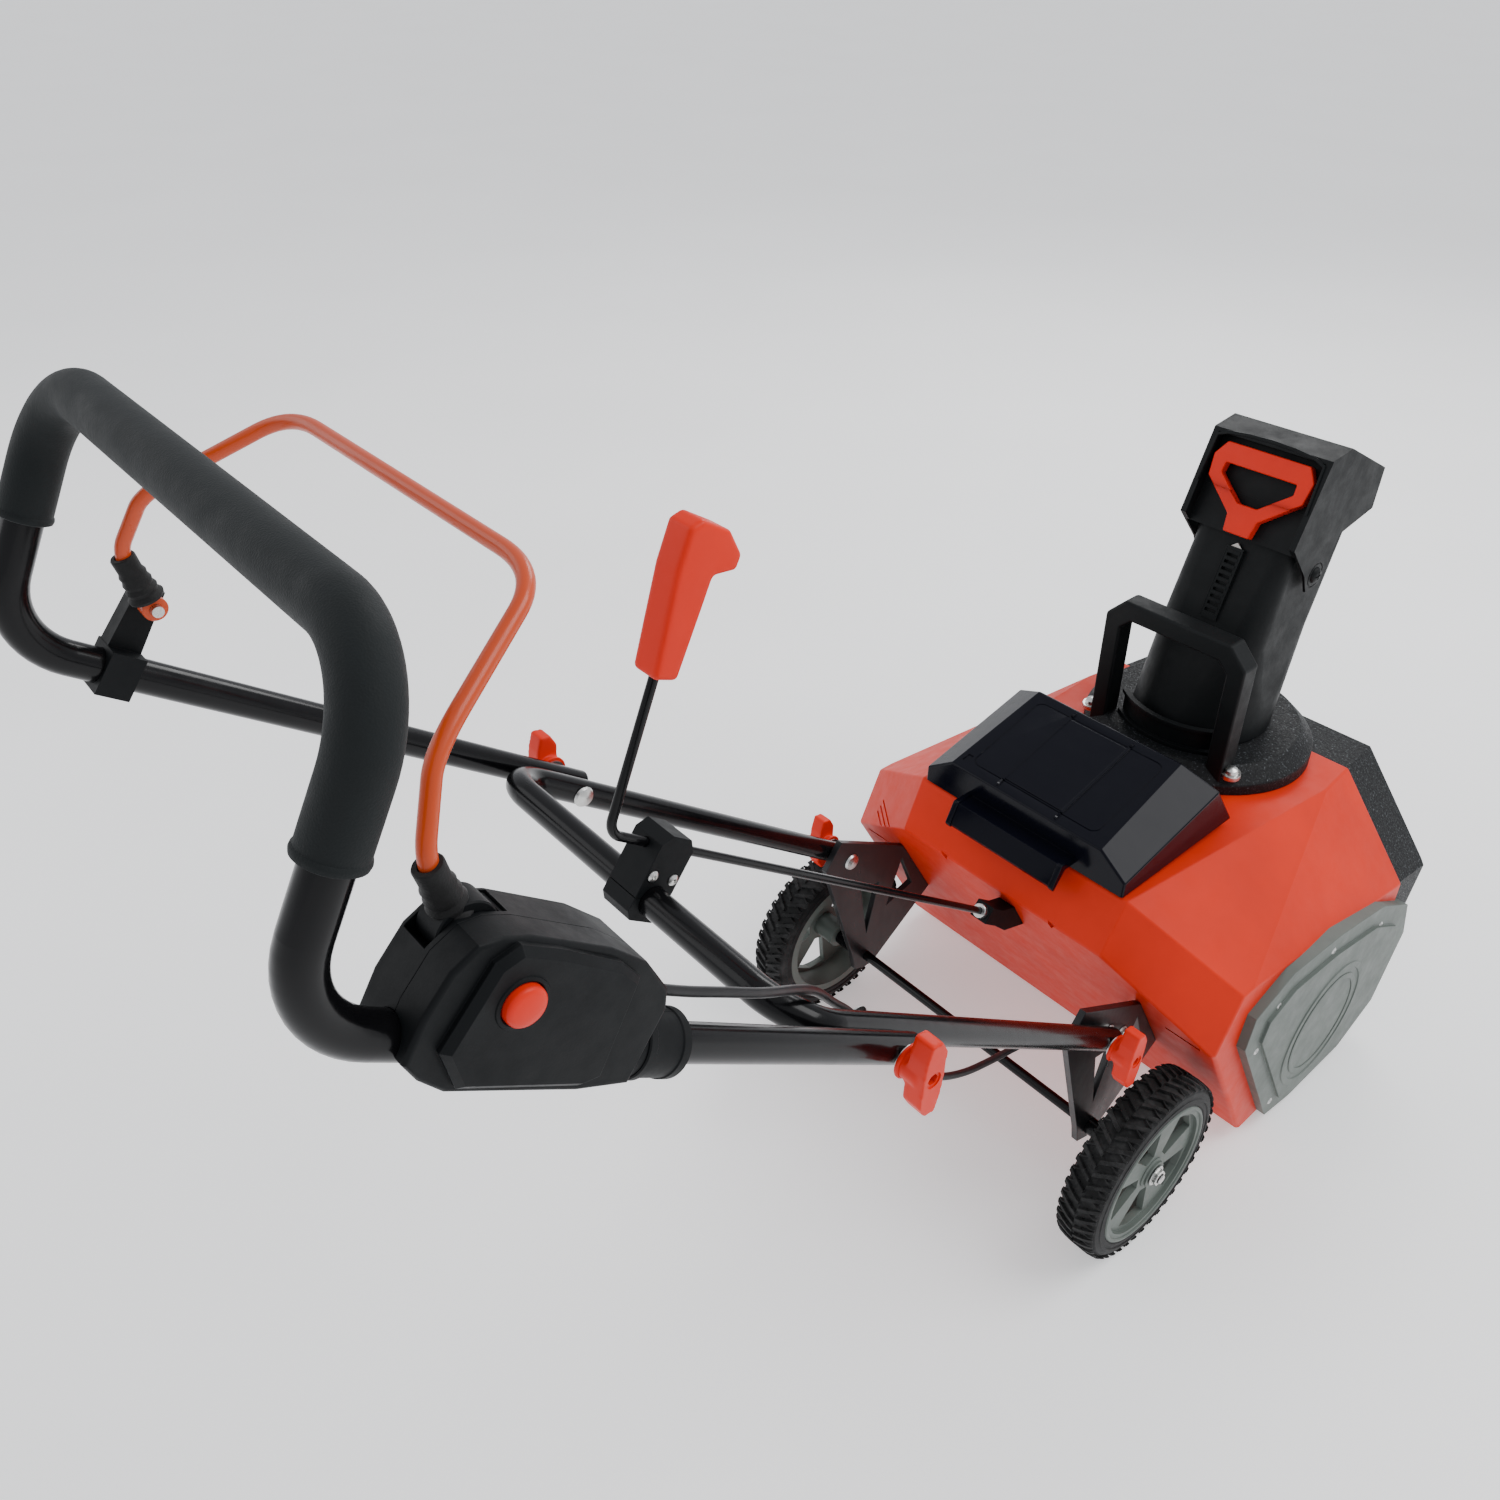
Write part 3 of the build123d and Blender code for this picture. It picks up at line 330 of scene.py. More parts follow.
def copy_node(node, name):
    """A welded copy of a CAD node's mesh with its flat faces joined."""
    mesh = nodes[node].data.copy()
    made = bmesh.new()
    made.from_mesh(mesh)
    bmesh.ops.remove_doubles(made, verts=made.verts, dist=1e-5)
    bmesh.ops.dissolve_limit(made, angle_limit=math.radians(0.6), verts=made.verts, edges=made.edges)
    made.to_mesh(mesh)
    made.free()
    return link(mesh, name)


def cut(obj, cutters):
    """Cuts helper objects out of a piece and removes them."""
    for cutter in cutters:
        modifier = obj.modifiers.new("cut", "BOOLEAN")
        modifier.operation = "DIFFERENCE"
        modifier.solver = "EXACT"
        modifier.object = cutter
    apply_modifiers(obj)
    for cutter in cutters:
        bpy.data.objects.remove(cutter)
    return obj


def soften(obj, width, segments=3, angle=28):
    """Rounds the sharp edges."""
    modifier = obj.modifiers.new("round", "BEVEL")
    modifier.width = width * MM
    modifier.segments = segments
    modifier.limit_method = "ANGLE"
    modifier.angle_limit = math.radians(angle)
    modifier.use_clamp_overlap = True
    return apply_modifiers(obj)


def basis(origin, x_axis, z_axis):
    """Matrix of a local frame from its origin, x axis and normal."""
    z_axis = Vector(z_axis).normalized()
    x_axis = Vector(x_axis)
    x_axis = (x_axis - z_axis * x_axis.dot(z_axis)).normalized()
    y_axis = z_axis.cross(x_axis)
    matrix = Matrix((x_axis, y_axis, z_axis)).transposed().to_4x4()
    matrix.translation = Vector(origin)
    return matrix


def prism(outline, low, high, matrix=None, name="prism", taper=0.0):
    """Closed solid from an outline in millimetres, from low to high along the frame's normal."""
    made = bmesh.new()
    centre = Vector((sum(p[0] for p in outline), sum(p[1] for p in outline))) / len(outline)
    rings = []
    for height, shrink in ((low, 0.0), (high, taper)):
        ring = []
        for point in outline:
            away = Vector(point) - centre
            at = centre + away * (1 - shrink / max(away.length, 1e-6))
            ring.append(made.verts.new((at.x * MM, at.y * MM, height * MM)))
        rings.append(ring)
    made.faces.new(list(reversed(rings[0])))
    made.faces.new(rings[1])
    skin(made, rings)
    bmesh.ops.recalc_face_normals(made, faces=made.faces)
    return build(made, name, matrix)


def circle(radius, count):
    """Regular outline round the frame's origin."""
    return [(radius * math.cos(2 * math.pi * i / count), radius * math.sin(2 * math.pi * i / count))
            for i in range(count)]


def lathe(profile, matrix, name, count=96, closed=True):
    """Turns (radius, height) points in millimetres about the frame's normal."""
    made = bmesh.new()
    rings = []
    for i in range(count):
        angle = 2 * math.pi * i / count
        rings.append([made.verts.new((r * MM * math.cos(angle), r * MM * math.sin(angle), h * MM))
                      for r, h in profile])
    steps = len(profile) if closed else len(profile) - 1
    for i in range(count):
        here, after = rings[i], rings[(i + 1) % count]
        for k in range(steps):
            m = (k + 1) % len(profile)
            made.faces.new((here[k], after[k], after[m], here[m]))
    bmesh.ops.remove_doubles(made, verts=made.verts, dist=1e-7)
    bmesh.ops.recalc_face_normals(made, faces=made.faces)
    return build(made, name, matrix)


def join(objs, name):
    """Joins helper objects into one mesh object without a boolean."""
    made = bmesh.new()
    for obj in objs:
        made.from_mesh(obj.data)
        bpy.data.objects.remove(obj)
    return build(made, name)


def across(x, side=1, centre=AXLE):
    """Frame whose normal points out along X on one side of the machine, in metres."""
    return basis((x * MM, centre.y, centre.z), Y_AXIS, (side, 0, 0))


def ring_band(outline, inner, low, high, matrix, name):
    """Closed band between two outlines with the same number of points, in millimetres.

    The outlines close on themselves, so an open arch gets a strip with no thickness between its feet.
    """
    made = bmesh.new()
    rings = [[made.verts.new((p[0] * MM, p[1] * MM, height * MM)) for p in line]
             for line, height in ((outline, low), (outline, high), (inner, high), (inner, low))]
    skin(made, rings + rings[:1])
    bmesh.ops.recalc_face_normals(made, faces=made.faces)
    return build(made, name, matrix)


def rounded(width, height, radius, centre=(0, 0), steps=6):
    """Rounded rectangle outline."""
    points = []
    for k, (sx, sy) in enumerate(((1, 1), (-1, 1), (-1, -1), (1, -1))):
        for i in range(steps + 1):
            angle = math.pi / 2 * (k + i / steps)
            points.append((centre[0] + sx * (width / 2 - radius) + radius * math.cos(angle),
                           centre[1] + sy * (height / 2 - radius) + radius * math.sin(angle)))
    return points


def nurbs_points(points, resolution=10):
    """Points along the smooth line that a NURBS spline makes of its control points, in metres."""
    data = bpy.data.curves.new("line", "CURVE")
    data.dimensions = "3D"
    spline = data.splines.new("NURBS")
    spline.points.add(len(points) - 1)
    for target, point in zip(spline.points, points):
        target.co = (*point, 1)
    spline.order_u = 3
    spline.use_endpoint_u = True
    spline.resolution_u = resolution
    obj = bpy.data.objects.new("line", data)
    bpy.context.scene.collection.objects.link(obj)
    mesh = bpy.data.meshes.new_from_object(obj)
    line = [vertex.co.copy() for vertex in mesh.vertices]
    bpy.data.objects.remove(obj)
    bpy.data.meshes.remove(mesh)
    return line


def tube(line, radius, name, sides=20):
    """Round rod with flat ends along a line in metres; its radius is in millimetres."""
    made = bmesh.new()
    side = None
    rings = []
    for k, point in enumerate(line):
        ahead = (line[min(k + 1, len(line) - 1)] - line[max(k - 1, 0)]).normalized()
        if side is None:
            side = ahead.orthogonal().normalized()
        side = (side - ahead * side.dot(ahead)).normalized()
        other = ahead.cross(side)
        rings.append([made.verts.new(point + (side * math.cos(2 * math.pi * i / sides)
                                              + other * math.sin(2 * math.pi * i / sides)) * radius * MM)
                      for i in range(sides)])
    skin(made, rings)
    made.faces.new(list(reversed(rings[0])))
    made.faces.new(rings[-1])
    bmesh.ops.recalc_face_normals(made, faces=made.faces)
    return build(made, name)


def melt(obj, rounds=6):
    """Turns a blocky piece into one softly moulded form."""
    remesh = obj.modifiers.new("remesh", "REMESH")
    remesh.mode = "VOXEL"
    remesh.voxel_size = MELT_VOXEL * MM
    blur = obj.modifiers.new("blur", "SMOOTH")
    blur.factor = 0.5
    blur.iterations = rounds
    return apply_modifiers(obj)


# ---- pieces ------------------------------------------------------------------
SIDES = ((-1, "right"), (1, "left"))


def rounded_nodes():
    """CAD nodes whose shape is right: a copy with rounded edges stands for each."""
    for node, width in (("auger_housing", 2.0), ("wheel_brackets", 0.8), ("lever_end_bearing", 1.2),
                        ("bail_clip", 1.2), ("scraper_bar", 0.8), ("chute_gearbox", 1.0), ("battery_tray", 0.8),
                        ("auger_discs", 0.8)):
        place(soften(copy_node(node, node + "_rounded"), width), node)


LID_TOP = basis((0, 0.146, 0.4507), X_AXIS, (0, 0.258, 0.966))
REAR_PANEL = basis((0, 0.248, 0.327), X_AXIS, (0, 0.867, -0.498))
EAR_X, EAR_NORMAL = 141.0, Vector((0.575, 0.738, 0.353))


def housing_piece():
    """Orange shell with two dimples in its rear panel and three vents at each ear."""
    shell = copy_node("main_housing", "housing_shell")
    dimples = [prism([(side * 64, -30), (side * 98, -30), (side * 76, 10)], -2.6, 4, REAR_PANEL, "dimple")
               for side in (-1, 1)]
    vents = []
    for side in (-1, 1):
        ear = basis((side * EAR_X * MM, 0.248, 0.327), (-side * 0.8, 0.6, 0),
                    (side * EAR_NORMAL.x, EAR_NORMAL.y, EAR_NORMAL.z))
        vents += [prism(rounded(58, 3.2, 1.5, (-side * 66, -30 - 9 * k)), -1.8, 4, ear, "vent") for k in range(3)]
    cut(shell, dimples + vents)
    place(soften(shell, 0.9, 2), "main_housing", angle=30)


def cover_pieces():
    """Gray side covers with a bearing ring round the auger's axis, and their screws."""
    auger = Vector((0, -0.047, 0.130))
    for node, side, face in (("belt_cover", -1, 280), ("left_side_cover", 1, 269)):
        cover = soften(copy_node(node, node + "_shell"), 2.2)
        place(cover, node)
        for k, (y, z) in enumerate(((-215, 150), (-150, 222), (-20, 262), (92, 252), (118, 200), (28, 46),
                                    (-40, 36), (-170, 56))):
            seat = across(side * (face - 4.6), side, Vector((0, y, z)) * MM)
            screw = lathe([(0, 1.6), (3.4, 1.5), (4.4, 0.6), (4.4, -2), (0, -2)], seat, "screw", 24, False)
            screw = cut(screw, [prism(circle(1.7, 6), 0.4, 3, seat, "hex")])
            screw.name = f"{node}_screw_{k}"
            place(screw, body="machine", slot="zinc")
        ring = lathe([(70, -1), (70, 1.2), (68.5, 1.8), (64, 1.8), (62.5, 1.2), (62.5, -1)],
                     across(side * (face - 0.4), side, auger), node + "_ring")
        place(ring, body="machine", slot="cover_gray")


def lid_pieces():
    """Glossy lid with its border groove, raised middle panel and capped pull lip."""
    lid = soften(copy_node("battery_lid", "lid_shell"), 2.0, 4)
    groove = ring_band(rounded(172, 122, 10), rounded(169.4, 119.4, 9), -0.9, 3, LID_TOP, "groove")
    notch = prism(rounded(8, 12, 2, (93, 58)), -1.4, 5, LID_TOP, "notch")
    cut(lid, [groove, notch])
    place(lid, "battery_lid", angle=40)
    panel = soften(prism([(-39, -58), (39, -58), (39, 58), (-39, 58)], -0.6, 1.5, LID_TOP, "lid_panel", 0.8), 0.7)
    place(panel, body="lid", slot="lid_black")
    for side in (-1, 1):
        cap = prism([(214, 405.5), (242.5, 405.5), (254.5, 380), (250.5, 374), (234.5, 396), (214, 396)], side * 69,
                    side * 76, basis((0, 0, 0), Y_AXIS, X_AXIS), "lid_cap_" + ("right", "left")[side > 0])
        place(soften(cap, 1.6), body="lid", slot="lid_black")
    for x in (-71, 59):
        knuckle = lathe([(2.7, 0), (6.2, 0), (6.8, 0.8), (6.8, 11.2), (6.2, 12), (2.7, 12)],
                        across(x, 1, Vector((0, 14, 397)) * MM), f"lid_knuckle_{x + 71}", 40)
        place(knuckle, body="lid", slot="lid_black")


TREAD_RADIUS, TREAD_FOOT = 108, 106.4
TREAD_PITCHES = 46


def tread_lug(made, sections, side, centre_x):
    """One tread block: sections are (start, end, offset from the middle, top radius), in millimetres."""
    rings = []
    for start, end, offset, top in sections:
        ring = []
        for along, radius in ((start, TREAD_FOOT), (end, TREAD_FOOT), (end - 0.7, top), (start + 0.7, top)):
            angle = along / TREAD_RADIUS
            ring.append(made.verts.new(((centre_x + side * offset) * MM, AXLE.y + radius * MM * math.cos(angle),
                                        AXLE.z + radius * MM * math.sin(angle))))
        rings.append(ring)
    skin(made, rings)
    made.faces.new(rings[0])
    made.faces.new(rings[-1])


def wheel_pieces():
    """Tyres with a branching tread, hubs with a lip, ribs and a centre cap, and the axle's nuts."""
    pitch = 2 * math.pi * TREAD_RADIUS / TREAD_PITCHES
    nuts = []
    for side, name in SIDES:
        low = -267 if side < 0 else 219
        centre = low + 24
        axis = basis((0, AXLE.y, AXLE.z), Y_AXIS, X_AXIS)
        carcass = lathe([(86.2, low + 1), (86.2, low + 47), (88, low + 48), (93, low + 47.6), (94, low + 48.6),
                         (95.5, low + 48.6), (96.5, low + 47.6), (102, low + 46.6), (106, low + 43),
                         (107, low + 34), (107.2, low + 24), (107, low + 14), (106, low + 5), (102, low + 1.4),
                         (96.5, low + 0.4), (95.5, low - 0.6), (94, low - 0.6), (93, low + 0.4), (88, low)],
                        axis, "carcass_" + name, 160)
        made = bmesh.new()
        for k in range(TREAD_PITCHES):
            for arm in (-1, 1):
                base = (k + (0.5 if arm > 0 else 0)) * pitch
                tread_lug(made, [(base, base + 5.2, 0.6, 110.9), (base + 3.0, base + 8.4, 7, 110.9),
                                 (base + 7.2, base + 12.6, 14, 110.4), (base + 10.4, base + 16.6, 20.5, 109.2),
                                 (base + 11.0, base + 17.4, 23.4, 107.2)], arm, centre)
                tread_lug(made, [(base + 8.2, base + 10.6, 8.6, 110.2), (base + 5.6, base + 8.0, 13.0, 109.8),
                                 (base + 2.6, base + 5.4, 18.6, 109.2), (base + 2.2, base + 5.4, 22.6, 107.4)],
                          arm, centre)
        bmesh.ops.recalc_face_normals(made, faces=made.faces)
        tyre = join([carcass, build(made, "lugs")], "tyre_tread_" + name)
        place(tyre, "tyre_" + name, angle=30)
        hub = soften(copy_node("wheel_hub_" + name, "hub_shell_" + name), 1.4)
        place(hub, "wheel_hub_" + name)
        face = 266 * side
        out = across(face, side)
        body = BODY_OF["wheel_hub_" + name]
        lip = lathe([(85.8, -2), (85.8, 0.6), (84.6, 1.8), (82.4, 1.8), (81.2, 0.6), (81.2, -2)], out,
                    "hub_lip_" + name)
        place(lip, body=body, slot="cover_gray")
        ribs = []
        for k in range(5):
            turn = 2 * math.pi * (k + 0.5) / 5
            seat = out @ Matrix.Rotation(turn, 4, "Z") @ Matrix.Translation((0, 0, -10 * MM))
            ribs.append(prism([(15, -5.2), (40, -3.4), (74, -6.5), (74, 6.5), (40, 3.4), (15, 5.2)], -1, 3.2, seat,
                              "rib", 1.2))
        place(soften(join(ribs, "hub_ribs_" + name), 0.8), body=body, slot="cover_gray")
        cap = lathe([(0, -3.5), (7.5, -3.5), (9, -3.9), (12, -5), (17, -6), (18.5, -7.4), (18.5, -12), (0, -12)],
                    across(face + side * 3.4, side), "hub_cap_" + name, 64, False)
        hollow = lathe([(13, 9), (13, -9), (0, -9), (0, 9)], across(face + side * 3.4, side), "hollow", 48, False)
        place(cut(cap, [hollow]), body=body, slot="cover_gray")
        nut_seat = across(side * 267.5, side)
        nut = soften(prism(circle(10, 6), 0, 5.6, nut_seat, "nut"), 1.0)
        washer = lathe([(6.1, -0.2), (6.1, 1.0), (11.8, 1.0), (12.2, 0.6), (12.2, -0.2)], nut_seat, "washer", 48)
        stud = lathe([(0, 8.0), (4.6, 8.0), (5.6, 7.0), (5.6, 0), (0, 0)], nut_seat, "stud", 32, False)
        nuts += [nut, washer, stud]
    place(join(nuts, "axle_hex_nuts"), "axle_nuts")


def auger_pieces():
    """Rubber blades with rounded edges, and the bolts on the end discs."""
    place(soften(copy_node("auger_paddles", "paddle_blades"), 1.2, 2), "auger_paddles", angle=25)
    bolts = []
    for side in (-1, 1):
        for k in range(4):
            turn = math.pi / 4 + k * math.pi / 2
            centre = Vector((0, -47 + 70 * math.cos(turn), 130 + 70 * math.sin(turn))) * MM
            bolts.append(lathe([(0, 3.4), (3.6, 3.2), (5.4, 1.8), (5.8, -0.4), (0, -0.4)],
                               across(side * 228, -side, centre), "bolt", 24, False))
    place(join(bolts, "disc_bolts"), body="auger", slot="zinc")


HOOD_FRAME = basis((0, -0.122, 0.652), (-1, 0, 0), (0, 0.9165, 0.4))
RAIL_FRAME = basis((0, -0.1035, 0.544), (-1, 0, 0), (0, 0.9308, 0.3652))


def chute_pieces():
    """Chute, its notched rail with a pointer, the hood with its rim and the pivot caps."""
    place(soften(copy_node("chute", "chute_shell"), 2.4), "chute", angle=30)
    teeth = []
    for k in range(9):
        y = 10 + 8.5 * k
        teeth.append(prism([(-8.6, y + 2.3), (8.6, y + 2.3), (8.6, y + 6.1), (-8.6, y + 6.1)], 4.0, 5.0, RAIL_FRAME,
                           "tooth", 0.5))
    for side in (-1, 1):
        teeth.append(prism([(side * 9.6, 2), (side * 10.9, 2), (side * 10.9, 86), (side * 9.6, 86)], 4.0, 4.9,
                           RAIL_FRAME, "rail"))
    place(soften(join(teeth, "rail_teeth"), 0.25, 2), body="chute_assembly", slot="chute_black")
    pointer = prism([(-7.5, 87.2), (7.5, 87.2), (0, 93.2)], 1.0, 3.6, RAIL_FRAME, "rail_pointer")
    place(pointer, body="chute_assembly", slot="gear_nylon")
    hood = soften(copy_node("deflector_hood", "hood_shell"), 2.6, 4)
    steps = []
    for side in (-1, 1):
        seat = across(side * HOOD_HALF, side, HOOD_PIVOT)
        steps.append(lathe([(15.5, 2), (15.5, -1.0), (13.8, -1.0), (13.8, 2)], seat, "groove", 56))
        steps.append(prism([(-2, 96), (22, 96), (30, 38), (26, 34), (22, 38), (16, 92)], -0.9, 2, seat, "groove"))
    cut(hood, steps)
    place(hood, "deflector_hood", angle=35)
    rim = ring_band([(-70, 40), (-67, 96), (-54, 101.6), (-28, 104.6), (0, 105.6), (28, 104.6), (54, 101.6),
                     (67, 96), (70, 40)],
                    [(-66.6, 40), (-64.2, 93.6), (-53, 98.0), (-28, 101.0), (0, 102.0), (28, 101.0), (53, 98.0),
                     (64.2, 93.6), (66.6, 40)], -3, 2.0, HOOD_FRAME, "hood_rim")
    place(soften(rim, 0.8, 2), body="deflector", slot="chute_black")
    caps = []
    for side in (-1, 1):
        seat = across(side * HOOD_HALF, side, HOOD_PIVOT)
        cap = lathe([(0, 4.6), (4.5, 4.4), (8.0, 3.2), (9.6, 1.2), (10, -0.6), (0, -0.6)], seat, "cap", 48, False)
        caps.append(cut(cap, [prism([(-6, -1), (6, -1), (6, 1), (-6, 1)], 3.0, 6, seat, "slot"),
                              prism([(-1, -6), (1, -6), (1, 6), (-1, 6)], 3.0, 6, seat, "slot")]))
    place(join(caps, "pivot_caps"), "deflector_bolts")
    trigger = soften(copy_node("deflector_trigger", "trigger_shell"), 1.6, 3)
    flutes = []
    for k in range(-3, 4):
        seat = HOOD_FRAME @ Matrix.Translation((k * 13 * MM, 0.0795, -0.0012))
        flutes.append(prism(rounded(5.6, 19, 2.7), 0, 3, seat, "flute"))
    cut(trigger, flutes)
    place(trigger, "deflector_trigger", angle=38)


def dome_pieces():
    """Textured dome under the chute, the carry handle, the collar at its neck and two bolts."""
    place(soften(copy_node("chute_base", "dome_shell"), 2.2), "chute_base", angle=35)
    frame_xz = basis((0, 0, 0), X_AXIS, (0, -1, 0))
    outline = [(-93, 387), (-93, 540), (-70, 564), (70, 564), (93, 540), (93, 387)]
    opening = [(-71, 387), (-71, 527), (-58, 540), (58, 540), (71, 527), (71, 387)]
    handle = soften(ring_band(outline, opening, 32, 60, frame_xz, "carry_handle_frame"), 3.2, 4)
    place(handle, "carry_handle")
    collar = []
    arc = [math.radians(50 + 80 * k / 24) for k in range(25)]
    for low, high, inner, outer in ((400, 434, 94.5, 97.5), (431, 436, 93.5, 101), (400, 409, 94.5, 103)):
        outline = [(outer * math.cos(a), outer * math.sin(a)) for a in arc]
        outline += [(inner * math.cos(a), inner * math.sin(a)) for a in reversed(arc)]
        collar.append(soften(prism(outline, low, high, Matrix.Translation(CHUTE), "collar"), 0.8, 2, 50))
    place(join(collar, "neck_collar"), body="machine", slot="chute_black")
    for side, name in SIDES:
        seat = basis((side * 0.099, -0.044, 0.402), X_AXIS, (0, 0.1, 1))
        bolt = lathe([(0, 8), (4, 7.6), (7, 5.6), (8.2, 2.4), (8.2, 0.6), (11, 0.6), (11.4, -0.4), (11.4, -5),
                      (0, -5)], seat, "dome_bolt_" + name, 40, False)
        place(bolt, body="machine", slot="zinc")


def knob_pieces():
    """Wing knobs with a hexagonal recess, and domed bolt heads inside the legs."""
    for node, x, centre in (("lower_knob_right", -208.5, LOWER_BOLT), ("lower_knob_left", 208.5, LOWER_BOLT),
                            ("fold_knob_right", -234, FOLD_BOLT), ("fold_knob_left", 234, FOLD_BOLT)):
        side = -1 if x < 0 else 1
        knob = melt(copy_node(node, node + "_shell"))
        seat = across(x + side * 26, side, centre)
        cut(knob, [prism(circle(5.2, 6), -7.5, 3, seat, "socket"), prism(circle(7.2, 40), -1.2, 3, seat, "mouth")])
        place(knob, node, angle=50)
        flange = lathe([(4.2, 0), (14.5, 0), (15, 0.8), (15, 2.2), (13.6, 3.2), (4.2, 3.2)],
                       across(x, side, centre), node + "_flange", 56)
        place(flange, body=BODY_OF[node], slot="grip_orange")
    heads = []
    for side in (-1, 1):
        for inner, outer, centre in ((172, 226, LOWER_BOLT), (181.4, 252, FOLD_BOLT)):
            seat = across(side * inner, -side, centre)
            head = lathe([(0, 4.6), (5, 4.2), (9, 2.6), (10.4, 0.4), (10.4, 0), (4, 0), (4, inner - outer),
                          (0, inner - outer)], seat, "head", 48, False)
            heads.append(head)
    place(join(heads, "domed_bolts"), "carriage_bolts")
    bolts = []
    for side in (-1, 1):
        for distance in (-42, -78):
            seat = across(side * 180, side, on_leg(0, distance))
            bolts.append(soften(prism(circle(7.4, 6), 0, 5, seat, "bolt"), 0.8))
            bolts.append(lathe([(0, 0.2), (9, 0.2), (9.2, 0.9), (8.6, 1.3), (0, 1.3)], seat, "washer", 40, False))
    place(join(bolts, "frame_hex_bolts"), "frame_bolts")


def clamp_pieces():
    """Lever clamp on the crossbar with its screws, the rings on the rod, and the lever's grip."""
    place(soften(copy_node("lever_clamp", "clamp_shell"), 2.0, 3), "lever_clamp")
    for k, distance in enumerate((526, 549)):
        seat = across(-27, -1, on_leg(0, distance, 20))
        screw = lathe([(0, 2.4), (3, 2.2), (4.8, 0.8), (4.8, -3), (0, -3)], seat, "screw", 32, False)
        screw = cut(screw, [prism(circle(2.0, 6), 0.8, 4, seat, "hex")])
        screw.name = f"clamp_screw_{k}"
        place(screw, body="machine", slot="zinc")
    collar = basis(on_leg(LEVER_X, 516, LEVER_RISE), X_AXIS, UP_LEG)
    ring = lathe([(4.2, -4), (8.2, -4), (8.8, -3.2), (8.8, 1.2), (8.2, 2), (4.2, 2)], collar, "rod_washer", 48)
    place(ring, body="machine", slot="zinc")
    end = basis(on_leg(LEVER_X, 6, LEVER_RISE), X_AXIS, UP_LEG)
    sleeve = lathe([(4.3, -3), (7.6, -3), (8, -2.2), (8, 4.4), (7.4, 5), (4.3, 5)], end, "rod_end_ring", 48)
    place(sleeve, body="machine", slot="zinc")
    grip = melt(copy_node("lever_grip", "grip_shell"), 5)
    place(grip, "lever_grip", angle=60)


def box_pieces():
    """Switch box halves, the button and its bezel, the leg's collar, and the boots of the lead and the bail."""
    for node in ("switch_box_outer", "switch_box_inner"):
        place(soften(copy_node(node, node + "_shell"), 2.4, 4), node, angle=40)
    seat = across(-247, -1, on_leg(0, 850, 37))
    bezel = lathe([(12.0, -5), (12.0, 0.5), (12.6, 1.0), (14.4, 0.7), (15.2, -0.5), (15.2, -5)], seat,
                  "button_bezel", 64)
    place(bezel, body="handle_top", slot="switch_black")
    button = lathe([(0, 6.6), (4, 6.5), (8, 6.1), (10.2, 5.4), (11.2, 4.2), (11.5, 2.6), (11.5, -8), (0, -8)],
                   seat, "button_cap", 64, False)
    place(button, "safety_button")
    collar = basis(on_leg(-219.5, 697), X_AXIS, UP_LEG)
    rings = [lathe([(12.7, 0), (19.4, 0), (20.8, 1.4), (20.8, 7.4), (19.8, 8.4), (12.7, 8.4)], collar, "ring", 72),
             lathe([(12.7, 30), (20.6, 30), (21.4, 31), (21.4, 36), (20.6, 37), (12.7, 37)], collar, "ring", 72)]
    place(join(rings, "leg_collar"), body="handle_top", slot="switch_black")
    exit_seat = basis(on_leg(-208, 738, 28), X_AXIS, on_leg(-207, 694, 26) - on_leg(-208, 738, 28))
    boot = lathe([(3.6, -3), (8.5, -3), (8.5, 2), (6.8, 3), (6.8, 5), (7.8, 6), (6.4, 7), (6.4, 9), (7.2, 10),
                  (5.6, 12), (5.0, 22), (3.6, 22)], exit_seat, "lead_boot", 48)
    place(boot, body="handle_top", slot="boot_black")
    bellows = []
    for side, name in SIDES:
        start = BAIL_PIVOT + Vector((side * BAIL_X, 0, 0)) * MM
        reach = (Vector((side * BAIL_X, 972, 905)) * MM - start).normalized()
        seat = basis(start + reach * 0.008, X_AXIS, reach)
        bellows.append(lathe([(5.1, 0), (11.5, 0), (12, 2), (9.8, 5), (10.6, 8), (9.2, 11), (9.8, 14), (8.6, 17),
                              (9.2, 20), (8.0, 23), (8.2, 33), (7.6, 34), (5.1, 34)], seat, "boot_" + name, 48))
    drum = lathe([(0, 0), (16.2, 0), (17, 0.8), (17, 18.4), (16.2, 19.2), (0, 19.2)],
                 across(-215.6, 1, BAIL_PIVOT), "bail_drum", 72, False)
    place(drum, body="bail_lever", slot="switch_black")
    stop = prism([(855.5, 50), (855.5, 66.2), (859.2, 66.6), (857.0, 62.2), (855.9, 57)], 0.1, 19.9,
                 basis(on_leg(-216, 0), UP_LEG, X_AXIS), "slot_stop")
    place(stop, body="handle_top", slot="switch_black")
    place(join(bellows, "bail_bellows"), "bail_boots")


